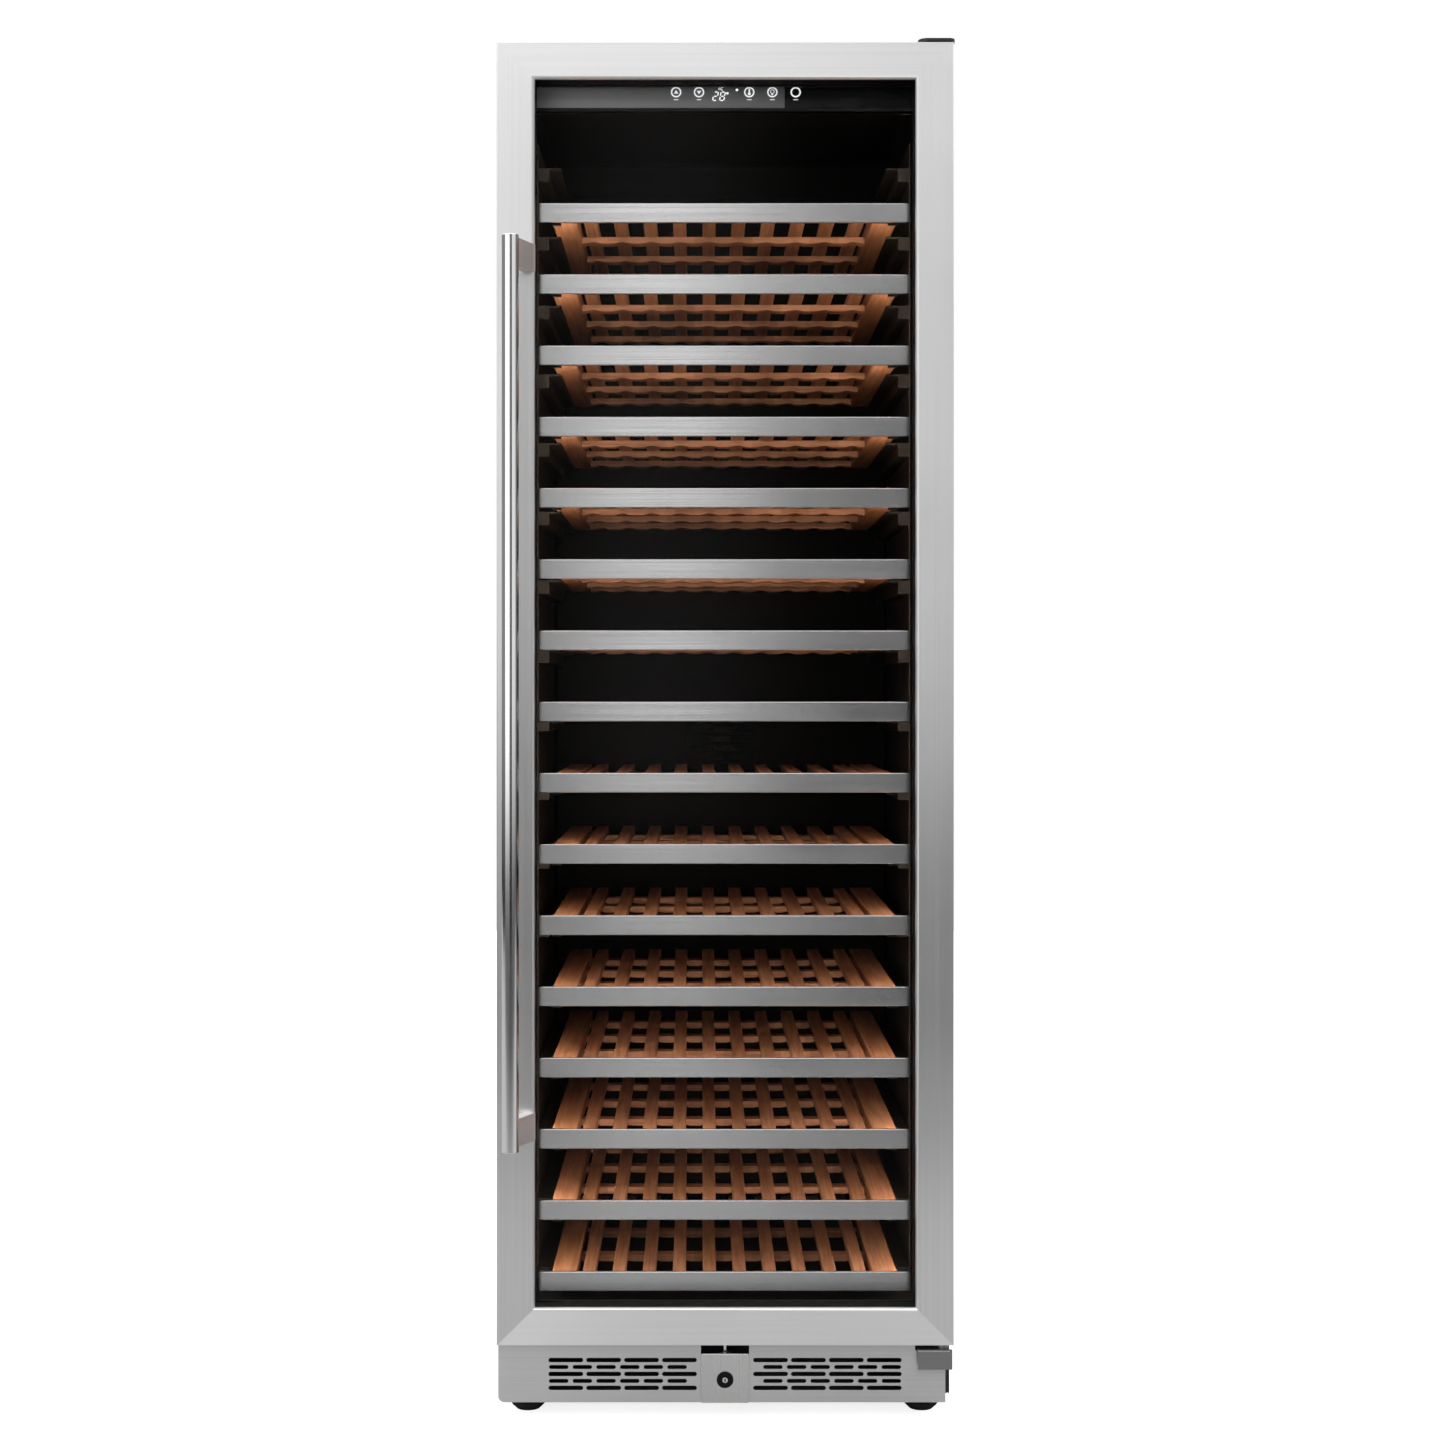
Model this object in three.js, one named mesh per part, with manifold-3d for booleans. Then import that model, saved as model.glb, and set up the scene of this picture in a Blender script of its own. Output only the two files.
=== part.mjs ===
// Built-in wine cooler with a hinged glass door, sixteen sliding wooden shelves and a base that
// breathes through the kick plate.
// Millimetres, +Z up, the front faces -Y. The origin is the middle of the footprint, on the floor.
import * as THREE from 'three';
import { mergeVertices } from 'three/addons/utils/BufferGeometryUtils.js';
import Module from 'manifold-3d';

// Driving dimensions.
const HALF_WIDTH = 297.5;
const HEIGHT = 1798;
const DEPTH = 680;
const HANDLE_REACH = 53;
const DOOR_BOTTOM = 101.4;
const DOOR_THICKNESS = 45;
const CABINET_SETBACK = 55.5;
const WINDOW_HALF_WIDTH = 248;
const WINDOW_BOTTOM = 150;
const WINDOW_TOP = 1750;
const KICK_BOTTOM = 22;
const KICK_TOP = 100;
const SHELF_COUNT = 16;
const TOP_SHELF_Z = 1601.2;
const SHELF_PITCH = 94.6;
const HINGE_X = 285;
const HINGE_DEPTH = 22;
const GAP = 0.3;

// Depths are measured back from the front plane of the door.
const FRONT_Y = HANDLE_REACH - (DEPTH + HANDLE_REACH) / 2;
const atDepth = (depth) => FRONT_Y + depth;

const wasm = await Module();
wasm.setup();

const FINISHES = {
  steel: { color: 0xc9cbcc, roughness: 0.35, metalness: 1 },
  darkSteel: { color: 0x17181a, roughness: 0.45, metalness: 0.6 },
  black: { color: 0x0d0e0f, roughness: 0.5, metalness: 0 },
  gloss: { color: 0x08090a, roughness: 0.08, metalness: 0 },
  wood: { color: 0xa8683c, roughness: 0.55, metalness: 0 },
  glass: { color: 0xbfc7c5, roughness: 0.03, metalness: 0, transparent: true, opacity: 0.25 },
  rubber: { color: 0x1b1b1c, roughness: 0.8, metalness: 0 },
  taupe: { color: 0x4a413a, roughness: 0.6, metalness: 0 },
};

const group = new THREE.Group();
group.name = 'wine_cooler';

function addNode(name, finish, geometry) {
  const mesh = new THREE.Mesh(geometry, new THREE.MeshStandardMaterial(FINISHES[finish]));
  mesh.name = name;
  group.add(mesh);
}

// Geometry to solid and back, for the cuts and joins.
function toSolid(geometry) {
  const bare = geometry.clone();
  bare.deleteAttribute('normal');
  bare.deleteAttribute('uv');
  const merged = mergeVertices(bare, 1e-4);
  const vertProperties = new Float32Array(merged.attributes.position.array);
  const triVerts = new Uint32Array(merged.index.array);
  return new wasm.Manifold(new wasm.Mesh({ numProp: 3, vertProperties, triVerts }));
}

function toGeometry(solid) {
  const mesh = solid.getMesh();
  const geometry = new THREE.BufferGeometry();
  geometry.setAttribute('position', new THREE.BufferAttribute(new Float32Array(mesh.vertProperties), 3));
  geometry.setIndex(new THREE.BufferAttribute(new Uint32Array(mesh.triVerts), 1));
  geometry.computeVertexNormals();
  return geometry;
}

function join(geometries) {
  const solids = geometries.map(toSolid);
  return toGeometry(solids.reduce((whole, next) => whole.add(next)));
}

function cut(geometry, tools) {
  let solid = toSolid(geometry);
  for (const tool of tools) {
    solid = solid.subtract(toSolid(tool));
  }
  return toGeometry(solid);
}

// A box between two corners, placed exactly, so that boxes that share a plane join flush.
function box(x0, x1, depth0, depth1, z0, z1) {
  const geometry = new THREE.BoxGeometry(2, 2, 2);
  const corners = geometry.attributes.position;
  for (let index = 0; index < corners.count; index += 1) {
    corners.setXYZ(
      index,
      corners.getX(index) < 0 ? x0 : x1,
      atDepth(corners.getY(index) < 0 ? depth0 : depth1),
      corners.getZ(index) < 0 ? z0 : z1,
    );
  }
  return geometry;
}

function outline(points) {
  return new THREE.Shape(points.map(([u, v]) => new THREE.Vector2(u, v)));
}

function roundedRectangle(x0, x1, z0, z1, radius) {
  const shape = new THREE.Shape();
  shape.absarc(x1 - radius, z0 + radius, radius, -Math.PI / 2, 0);
  shape.absarc(x1 - radius, z1 - radius, radius, 0, Math.PI / 2);
  shape.absarc(x0 + radius, z1 - radius, radius, Math.PI / 2, Math.PI);
  shape.absarc(x0 + radius, z0 + radius, radius, Math.PI, 1.5 * Math.PI);
  return shape;
}

// An outline drawn in X and Z, made solid between two depths.
function frontPlate(shape, depth0, depth1, curveSegments = 4) {
  const settings = { depth: depth1 - depth0, bevelEnabled: false, curveSegments };
  const geometry = new THREE.ExtrudeGeometry(shape, settings);
  geometry.rotateX(Math.PI / 2);
  geometry.translate(0, atDepth(depth1), 0);
  return geometry;
}

// An outline drawn in X and depth, made solid between two heights.
function planPlate(shape, z0, z1, curveSegments = 6) {
  const settings = { depth: z1 - z0, bevelEnabled: false, curveSegments };
  const geometry = new THREE.ExtrudeGeometry(shape, settings);
  geometry.translate(0, FRONT_Y, z0);
  return geometry;
}

// An outline drawn in depth and Z, made solid between two X.
function sideProfile(shape, x0, x1) {
  const geometry = new THREE.ExtrudeGeometry(shape, { depth: x1 - x0, bevelEnabled: false });
  const axes = [new THREE.Vector3(0, 1, 0), new THREE.Vector3(0, 0, 1), new THREE.Vector3(1, 0, 0)];
  geometry.applyMatrix4(new THREE.Matrix4().makeBasis(...axes));
  geometry.translate(x0, FRONT_Y, 0);
  return geometry;
}

// An upright turned solid. The profile is [radius, z] from the axis, up, and back to the axis.
function turnedUpright(profile, x, depth, sides = 16) {
  const points = profile.map(([radius, z]) => new THREE.Vector2(radius, z));
  const geometry = new THREE.LatheGeometry(points, sides);
  geometry.rotateX(Math.PI / 2);
  geometry.translate(x, atDepth(depth), 0);
  return geometry;
}

// The same, with the axis running back from the front: the profile is [radius, depth].
function turnedLevel(profile, x, z, sides = 24) {
  const points = profile.map(([radius, depth]) => new THREE.Vector2(radius, depth));
  const geometry = new THREE.LatheGeometry(points, sides);
  geometry.translate(x, FRONT_Y, z);
  return geometry;
}

function uprightRod(x, depth, z0, z1, radius, sides = 16) {
  return turnedUpright([[0, z0], [radius, z0], [radius, z1], [0, z1]], x, depth, sides);
}

function levelRod(x, z, depth0, depth1, radius, sides = 24) {
  return turnedLevel([[0, depth0], [radius, depth0], [radius, depth1], [0, depth1]], x, z, sides);
}

// Cabinet: casing, liner and the parts of the cold room.
const CASING_SHEET = 1;
const FRAME_BOTTOM = 112;
const ROOM_HALF_WIDTH = 257.5;
const ROOM_BOTTOM = 140;
const ROOM_TOP = 1768;
const ROOM_BACK = 585;
const LINER_WALL = 2;
const LINER_FRONT = CABINET_SETBACK + CASING_SHEET + GAP;
const PAST = 10;

function outerCasing() {
  const inner = HALF_WIDTH - CASING_SHEET;
  const sheetBack = CABINET_SETBACK + CASING_SHEET;
  const shell = box(-HALF_WIDTH, HALF_WIDTH, CABINET_SETBACK, DEPTH, KICK_BOTTOM, HEIGHT);
  const inside = box(-inner, inner, sheetBack, DEPTH - CASING_SHEET, KICK_BOTTOM - PAST, HEIGHT - CASING_SHEET);
  const mouth = box(
    -ROOM_HALF_WIDTH, ROOM_HALF_WIDTH, CABINET_SETBACK - PAST, sheetBack + PAST, ROOM_BOTTOM, ROOM_TOP,
  );
  const below = box(-inner, inner, CABINET_SETBACK - PAST, sheetBack + PAST, KICK_BOTTOM - PAST, FRAME_BOTTOM);
  return cut(shell, [inside, mouth, below]);
}

function innerLiner() {
  const outside = ROOM_HALF_WIDTH + LINER_WALL;
  const tub = box(
    -outside, outside, LINER_FRONT, ROOM_BACK + LINER_WALL, ROOM_BOTTOM - LINER_WALL, ROOM_TOP + LINER_WALL,
  );
  const room = box(-ROOM_HALF_WIDTH, ROOM_HALF_WIDTH, LINER_FRONT - PAST, ROOM_BACK, ROOM_BOTTOM, ROOM_TOP);
  return cut(tub, [room]);
}

// The air panel stands on the back wall and covers the cold-air fan with a round grille.
const AIR_PANEL_DEPTH = 553;
const AIR_PANEL_SHEET = 2;
const AIR_PANEL_HALF_WIDTH = 250;
const AIR_FAN_X = 0;
const AIR_FAN_Z = 880;
const GRILLE_RADIUS = 52;
const GRILLE_BAR_PITCH = 14;
const GRILLE_GAP = 8;

function airPanel() {
  const half = AIR_PANEL_HALF_WIDTH;
  const inner = half - AIR_PANEL_SHEET;
  const front = AIR_PANEL_DEPTH;
  const back = ROOM_BACK - GAP;
  const hat = outline([
    [-half, front], [half, front], [half, back], [inner, back],
    [inner, front + AIR_PANEL_SHEET], [-inner, front + AIR_PANEL_SHEET], [-inner, back], [-half, back],
  ]);
  const slots = [];
  for (let row = -3; row <= 3; row += 1) {
    const z = AIR_FAN_Z + row * GRILLE_BAR_PITCH;
    const reach = Math.sqrt(GRILLE_RADIUS ** 2 - (row * GRILLE_BAR_PITCH) ** 2);
    slots.push(box(
      AIR_FAN_X - reach, AIR_FAN_X + reach, front - PAST, front + PAST, z - GRILLE_GAP / 2, z + GRILLE_GAP / 2,
    ));
  }
  return cut(planPlate(hat, ROOM_BOTTOM + 45, ROOM_TOP - 55), slots);
}

// A fan turns on a level axis: a hub, and blades set at an angle.
function fan(x, z, depth0, depth1, radius, hubRadius, bladeCount) {
  const middle = (depth0 + depth1) / 2;
  const pieces = [levelRod(x, z, depth0, depth1, hubRadius, 12)];
  for (let index = 0; index < bladeCount; index += 1) {
    const length = radius - hubRadius * 0.8;
    const blade = new THREE.BoxGeometry(length, 2, hubRadius * 1.1);
    blade.rotateX(0.6);
    blade.translate(hubRadius * 0.8 + length / 2, 0, 0);
    blade.rotateY((index * 2 * Math.PI) / bladeCount);
    blade.translate(x, atDepth(middle), z);
    pieces.push(blade);
  }
  return join(pieces);
}

// A moulded panel on each side wall, with a ledge for each shelf and a spare one above them.
const RAIL_BACK_X = ROOM_HALF_WIDTH - GAP;
const RAIL_FACE_X = 255;
const RAIL_BLOCK_X = 240;
const RAIL_LIP_X = 224;
const RAIL_FRONT = 178;
const RAIL_BACK = 545;
const LEDGE_TOP = -22.3;
const LIP_BOTTOM = -25;
const LEDGE_BOTTOM = -41;
const RAIL_BOTTOM = ROOM_BOTTOM + GAP;
const RAIL_MARGIN = 12;

const shelfZ = (index) => TOP_SHELF_Z - index * SHELF_PITCH;

function shelfRail(side) {
  const top = shelfZ(-1) + RAIL_MARGIN;
  const points = [[RAIL_BACK_X, top], [RAIL_BACK_X, RAIL_BOTTOM], [RAIL_FACE_X, RAIL_BOTTOM]];
  for (let index = SHELF_COUNT - 1; index >= -1; index -= 1) {
    const z = shelfZ(index);
    points.push([RAIL_FACE_X, z + LEDGE_BOTTOM]);
    points.push([RAIL_BLOCK_X, z + LEDGE_BOTTOM]);
    points.push([RAIL_BLOCK_X, z + LIP_BOTTOM]);
    points.push([RAIL_LIP_X, z + LIP_BOTTOM]);
    points.push([RAIL_LIP_X, z + LEDGE_TOP]);
    points.push([RAIL_FACE_X, z + LEDGE_TOP]);
  }
  points.push([RAIL_FACE_X, top]);
  return frontPlate(outline(points.map(([x, z]) => [side * x, z])), RAIL_FRONT, RAIL_BACK);
}

const PANEL_BOTTOM = 1722;
const PANEL_TOP = 1758;
const PANEL_FRONT = 56;
const PANEL_BACK = 74;

function controlPanel() {
  const half = ROOM_HALF_WIDTH - 1;
  const face = outline([
    [PANEL_FRONT, PANEL_BOTTOM + 2], [PANEL_FRONT + 3, PANEL_BOTTOM], [PANEL_BACK, PANEL_BOTTOM],
    [PANEL_BACK, PANEL_TOP], [PANEL_FRONT + 3, PANEL_TOP], [PANEL_FRONT, PANEL_TOP - 2],
  ]);
  return sideProfile(face, -half, half);
}

// Shelves: a wooden rack of slats on crossbars, behind a folded steel trim.
const TRIM_HALF_WIDTH = 246.5;
const TRIM_HEIGHT = 26;
const TRIM_FRONT = 62;
const TRIM_SHEET = 1.7;
const TRIM_FLANGE_BACK = 67;
const RACK_HALF_WIDTH = 230;
const RACK_INNER_X = 197;
const RACK_FRONT = TRIM_FRONT + TRIM_SHEET + GAP;
const RACK_BACK = 545;
const RACK_TOP = -3;
const RACK_BOTTOM = -22;
const SLAT_BOTTOM = -15;
const SLAT_COUNT = 10;
const SLAT_WIDTH = 17.5;
const SLAT_PITCH = 40.2;
const CROSSBAR_BOTTOM = -24;
const CROSSBAR_COUNT = 3;
const CROSSBAR_WIDTH = 23;
const CROSSBAR_FIRST = 217;
const CROSSBAR_PITCH = 142;
const FRONT_BAR_BACK = 80;

function shelfTrim(z) {
  const low = z - TRIM_HEIGHT;
  const back = TRIM_FRONT + TRIM_SHEET;
  const channel = outline([
    [TRIM_FRONT, low], [TRIM_FLANGE_BACK, low], [TRIM_FLANGE_BACK, low + TRIM_SHEET],
    [back, low + TRIM_SHEET], [back, z - TRIM_SHEET], [TRIM_FLANGE_BACK, z - TRIM_SHEET],
    [TRIM_FLANGE_BACK, z], [TRIM_FRONT, z],
  ]);
  return sideProfile(channel, -TRIM_HALF_WIDTH, TRIM_HALF_WIDTH);
}

function shelfRack(z) {
  const inner = RACK_INNER_X;
  const pieces = [
    box(-RACK_HALF_WIDTH, -inner, RACK_FRONT, RACK_BACK, z + RACK_BOTTOM, z + RACK_TOP),
    box(inner, RACK_HALF_WIDTH, RACK_FRONT, RACK_BACK, z + RACK_BOTTOM, z + RACK_TOP),
  ];
  const bars = [[RACK_FRONT, FRONT_BAR_BACK]];
  for (let index = 0; index < CROSSBAR_COUNT; index += 1) {
    const front = CROSSBAR_FIRST + index * CROSSBAR_PITCH;
    bars.push([front, front + CROSSBAR_WIDTH]);
  }
  for (const [front, back] of bars) {
    pieces.push(box(-inner, inner, front, back, z + CROSSBAR_BOTTOM, z + SLAT_BOTTOM));
  }
  for (let index = 0; index < SLAT_COUNT; index += 1) {
    const left = (index - (SLAT_COUNT - 1) / 2) * SLAT_PITCH - SLAT_WIDTH / 2;
    pieces.push(box(left, left + SLAT_WIDTH, RACK_FRONT, RACK_BACK, z + SLAT_BOTTOM, z + RACK_TOP));
  }
  return join(pieces);
}

// Base: frame, feet, kick plate, lock and machinery.
const BASE_WALL = 3;
const BASE_HALF_WIDTH = HALF_WIDTH - CASING_SHEET - GAP;
const BASE_FRONT = CABINET_SETBACK + 2;
const BASE_BACK = DEPTH - CASING_SHEET - GAP;
const BASE_FLOOR = KICK_BOTTOM + GAP;
const BASE_TOP = FRAME_BOTTOM - 2;
const BEAM_BOTTOM = 95;
const BEAM_DEPTH = 20;
const FOOT_X = 261;
const FOOT_DEPTHS = { front: 70, rear: 640 };
const STEM_RADIUS = 5;

function baseFrame() {
  const half = BASE_HALF_WIDTH;
  const pieces = [
    box(-half, half, BASE_FRONT, BASE_BACK, BASE_FLOOR, BASE_FLOOR + BASE_WALL),
    box(-half, -half + BASE_WALL, BASE_FRONT, BASE_BACK, BASE_FLOOR, BASE_TOP),
    box(half - BASE_WALL, half, BASE_FRONT, BASE_BACK, BASE_FLOOR, BASE_TOP),
    box(-half, half, BASE_FRONT, BASE_FRONT + BEAM_DEPTH, BEAM_BOTTOM, BASE_TOP),
  ];
  const holes = [];
  for (const depth of Object.values(FOOT_DEPTHS)) {
    for (const side of [-1, 1]) {
      holes.push(uprightRod(side * FOOT_X, depth, 0, KICK_BOTTOM + 20, STEM_RADIUS + 0.6, 12));
    }
  }
  return cut(join(pieces), holes);
}

function foot(side, depth) {
  const padTop = KICK_BOTTOM - GAP;
  const profile = [
    [0, 0], [15, 0], [22.25, 7], [22.25, 17], [20, padTop], [STEM_RADIUS, padTop], [STEM_RADIUS, 60], [0, 60],
  ];
  return turnedUpright(profile, side * FOOT_X, depth, 12);
}

const KICK_FRONT = 18;
const KICK_SHEET = 2;
const KICK_RIGHT_X = 288.5;
const KICK_FLANGE_BACK = 54;
const SLOT_ROW_TOP = 77.3;
const SLOT_ROW_PITCH = 9.1;
const SLOT_ROWS = [
  { count: 4, first: 59.6, pitch: 49.6, length: 45.5, height: 5.2 },
  { count: 6, first: 62.7, pitch: 31, length: 25.4, height: 4.6 },
];
const LOCK_HALF_WIDTH = 31.5;
const LOCK_PLATE_FRONT = 14;
const LOCK_PLATE_TOP = 86.6;
const LOCK_Z = 52.6;
const LOCK_RADIUS = 10.35;
const BOLT_DEPTH = 27;
const BOLT_RADIUS = 4;
const HINGE_NOTCH_X = 249;
const LEAF_BOTTOM = 91.2;
const LEAF_TOP = 94.7;

function slot(x, z, length, height) {
  const radius = height / 2;
  const shape = new THREE.Shape();
  shape.absarc(x + length / 2 - radius, z, radius, -Math.PI / 2, Math.PI / 2);
  shape.absarc(x - length / 2 + radius, z, radius, Math.PI / 2, 1.5 * Math.PI);
  return shape;
}

function kickGrille() {
  const left = -HALF_WIDTH + 0.5;
  const right = KICK_RIGHT_X;
  const corner = 8;
  const notch = LEAF_BOTTOM - 1;
  const shape = new THREE.Shape();
  shape.moveTo(right, KICK_BOTTOM);
  shape.lineTo(right, notch);
  shape.lineTo(HINGE_NOTCH_X, notch);
  shape.lineTo(HINGE_NOTCH_X, KICK_TOP);
  shape.lineTo(LOCK_HALF_WIDTH, KICK_TOP);
  shape.lineTo(LOCK_HALF_WIDTH, LOCK_Z - 20);
  shape.lineTo(-LOCK_HALF_WIDTH, LOCK_Z - 20);
  shape.lineTo(-LOCK_HALF_WIDTH, KICK_TOP);
  shape.lineTo(left, KICK_TOP);
  shape.absarc(left + corner, KICK_BOTTOM + corner, corner, Math.PI, 1.5 * Math.PI);
  for (let row = 0; row < 5; row += 1) {
    const { count, first, pitch, length, height } = SLOT_ROWS[row % 2];
    for (let index = 0; index < count; index += 1) {
      for (const side of [-1, 1]) {
        const x = side * (first + index * pitch);
        shape.holes.push(slot(x, SLOT_ROW_TOP - row * SLOT_ROW_PITCH, length, height));
      }
    }
  }
  const sheetBack = KICK_FRONT + KICK_SHEET;
  const returns = [
    box(left, left + KICK_SHEET, sheetBack, KICK_FLANGE_BACK, KICK_BOTTOM + corner, KICK_TOP),
    box(right - KICK_SHEET, right, sheetBack, KICK_FLANGE_BACK, KICK_BOTTOM, notch),
  ];
  return join([frontPlate(shape, KICK_FRONT, sheetBack, 1), ...returns]);
}

function lockPlate() {
  const face = roundedRectangle(-LOCK_HALF_WIDTH, LOCK_HALF_WIDTH, KICK_BOTTOM + 0.5, LOCK_PLATE_TOP, 2);
  const plate = frontPlate(face, LOCK_PLATE_FRONT, LOCK_PLATE_FRONT + 2);
  const guide = box(-9, 9, LOCK_PLATE_FRONT + 2, BOLT_DEPTH + 10, 70, 84);
  const seat = levelRod(0, LOCK_Z, 0, 60, LOCK_RADIUS + 0.4);
  const bore = uprightRod(0, BOLT_DEPTH, 60, 90, BOLT_RADIUS + 0.4);
  return cut(join([plate, guide]), [seat, bore]);
}

function lockCylinder() {
  const barrel = turnedLevel([
    [0, LOCK_PLATE_FRONT - 1.5], [3, LOCK_PLATE_FRONT - 1.5], [3, LOCK_PLATE_FRONT - 2.5],
    [LOCK_RADIUS - 1, LOCK_PLATE_FRONT - 2.5], [LOCK_RADIUS, LOCK_PLATE_FRONT - 1.5], [LOCK_RADIUS, 34], [0, 34],
  ], 0, LOCK_Z);
  const keyway = box(-0.7, 0.7, 0, LOCK_PLATE_FRONT + 3, LOCK_Z - 2.2, LOCK_Z + 2.2);
  return cut(barrel, [keyway]);
}

function lockBolt() {
  return uprightRod(0, BOLT_DEPTH, 66, 97, BOLT_RADIUS);
}

function compressor() {
  const floor = BASE_FLOOR + BASE_WALL + GAP;
  const profile = [
    [0, floor], [50, floor], [62, floor + 10], [62, floor + 52], [52, floor + 70], [20, floor + 78],
    [0, floor + 78],
  ];
  return turnedUpright(profile, -150, 560, 20);
}

// Door: folded steel frame over a moulded core, insulated glass, gasket and handle.
const SKIN_SHEET = 2;
const SKIN_BACK = 43;
const FRONT_LIP = 6;
const REAR_LIP = 40;
const PANE_HALF_WIDTH = 258;
const PANE_BOTTOM = 140;
const PANE_TOP = 1760;
const PANE_THICKNESS = 4;
const PIN_RADIUS = 4;
const LOWER_PIN_TOP = 112;
const UPPER_PIN_BOTTOM = 1784;
const PLATE_BOTTOM = HEIGHT + GAP;
const PLATE_TOP = 1804;

// The blind holes for the hinge pins and the lock bolt.
function doorHoles() {
  return [
    uprightRod(HINGE_X, HINGE_DEPTH, 90, LOWER_PIN_TOP + 2, PIN_RADIUS + 0.3),
    uprightRod(HINGE_X, HINGE_DEPTH, UPPER_PIN_BOTTOM - 2, HEIGHT + 5, PIN_RADIUS + 0.3),
    uprightRod(0, BOLT_DEPTH, 90, 116, BOLT_RADIUS + 1.5),
  ];
}

function windowCut() {
  return box(-WINDOW_HALF_WIDTH, WINDOW_HALF_WIDTH, -PAST, DOOR_THICKNESS + PAST, WINDOW_BOTTOM, WINDOW_TOP);
}

function doorFrame() {
  const sheet = SKIN_SHEET;
  const face = roundedRectangle(-HALF_WIDTH, HALF_WIDTH, DOOR_BOTTOM, HEIGHT, 3);
  const inner = HALF_WIDTH - sheet;
  const hollow = box(-inner, inner, sheet, DOOR_THICKNESS + PAST, DOOR_BOTTOM + sheet, HEIGHT - sheet);
  const tray = cut(frontPlate(face, 0, SKIN_BACK, 2), [hollow]);
  const lipX = WINDOW_HALF_WIDTH + sheet;
  const lip = box(-lipX, lipX, sheet, FRONT_LIP, WINDOW_BOTTOM - sheet, WINDOW_TOP + sheet);
  return cut(join([tray, lip]), [windowCut(), ...doorHoles()]);
}

function doorCore() {
  const clear = SKIN_SHEET + GAP;
  const half = HALF_WIDTH - clear;
  const block = box(-half, half, FRONT_LIP + GAP, DOOR_THICKNESS, DOOR_BOTTOM + clear, HEIGHT - clear);
  const pocket = box(-PANE_HALF_WIDTH, PANE_HALF_WIDTH, 0, REAR_LIP, PANE_BOTTOM, PANE_TOP);
  return cut(block, [windowCut(), pocket, ...doorHoles()]);
}

function pane(depth) {
  const half = PANE_HALF_WIDTH - GAP;
  return box(-half, half, depth, depth + PANE_THICKNESS, PANE_BOTTOM + GAP, PANE_TOP - GAP);
}

function doorGasket() {
  const front = DOOR_THICKNESS + GAP;
  const back = CABINET_SETBACK - GAP;
  const block = box(-286, 286, front, back, 115, 1793);
  return cut(block, [box(-264, 264, front - PAST, back + PAST, 137, 1771)]);
}

const HANDLE_X = -276.3;
const HANDLE_RADIUS = 11;
const HANDLE_DEPTH = HANDLE_RADIUS - HANDLE_REACH;
const HANDLE_BOTTOM = 361;
const HANDLE_TOP = 1539;
const BRACKET_HEIGHT = 36;
const BRACKET_INSET = 4.5;

function handleBar() {
  const bevel = 1.2;
  const profile = [
    [0, HANDLE_BOTTOM], [HANDLE_RADIUS - bevel, HANDLE_BOTTOM], [HANDLE_RADIUS, HANDLE_BOTTOM + bevel],
    [HANDLE_RADIUS, HANDLE_TOP - bevel], [HANDLE_RADIUS - bevel, HANDLE_TOP], [0, HANDLE_TOP],
  ];
  return turnedUpright(profile, HANDLE_X, HANDLE_DEPTH, 24);
}

// The arm starts under the bar's rear right side and slants back to a foot on the door's face.
function handleBracket(z0) {
  const arm = outline([
    [-270, -46], [-264, -42], [-249, -GAP - 3], [-247, -GAP], [-263, -GAP], [-266, -GAP - 3], [-276, -36],
  ]);
  const seat = uprightRod(HANDLE_X, HANDLE_DEPTH, z0 - PAST, z0 + BRACKET_HEIGHT + PAST, HANDLE_RADIUS + GAP, 24);
  return cut(planPlate(arm, z0, z0 + BRACKET_HEIGHT), [seat]);
}

function topHinge() {
  const plan = new THREE.Shape();
  plan.moveTo(299.5, 130);
  plan.lineTo(252, 130);
  plan.lineTo(252, 12);
  plan.absarc(264, 12, 12, Math.PI, 1.5 * Math.PI);
  plan.lineTo(292, 0);
  plan.absarc(292, 7.5, 7.5, -Math.PI / 2, 0);
  const plate = planPlate(plan, PLATE_BOTTOM, PLATE_TOP);
  return join([plate, uprightRod(HINGE_X, HINGE_DEPTH, UPPER_PIN_BOTTOM, PLATE_BOTTOM + 2, PIN_RADIUS)]);
}

function bottomHinge() {
  const insideWall = BASE_HALF_WIDTH - BASE_WALL - GAP;
  const leaf = box(251.5, insideWall, 3, BASE_FRONT + BEAM_DEPTH - 2, LEAF_BOTTOM, LEAF_TOP);
  const fold = box(251.5, 296, 3, 6.5, 69, LEAF_TOP);
  const collar = uprightRod(HINGE_X, HINGE_DEPTH, LEAF_TOP - 1, DOOR_BOTTOM - GAP, 8);
  const pin = uprightRod(HINGE_X, HINGE_DEPTH, LEAF_TOP - 1, LOWER_PIN_TOP, PIN_RADIUS);
  return join([leaf, fold, collar, pin]);
}

addNode('outer_casing', 'darkSteel', outerCasing());
addNode('inner_liner', 'black', innerLiner());
addNode('air_panel', 'black', airPanel());
addNode('evaporator_fan', 'black', fan(AIR_FAN_X, AIR_FAN_Z, 559, 580, 46, 16, 7));
addNode('shelf_rail_left', 'taupe', shelfRail(-1));
addNode('shelf_rail_right', 'taupe', shelfRail(1));
addNode('control_panel', 'gloss', controlPanel());
for (let index = 0; index < SHELF_COUNT; index += 1) {
  const label = String(index + 1).padStart(2, '0');
  addNode(`shelf_${label}_rack`, 'wood', shelfRack(shelfZ(index)));
  addNode(`shelf_${label}_trim`, 'steel', shelfTrim(shelfZ(index)));
}
addNode('base_frame', 'darkSteel', baseFrame());
for (const [place, depth] of Object.entries(FOOT_DEPTHS)) {
  addNode(`foot_${place}_left`, 'rubber', foot(-1, depth));
  addNode(`foot_${place}_right`, 'rubber', foot(1, depth));
}
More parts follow.
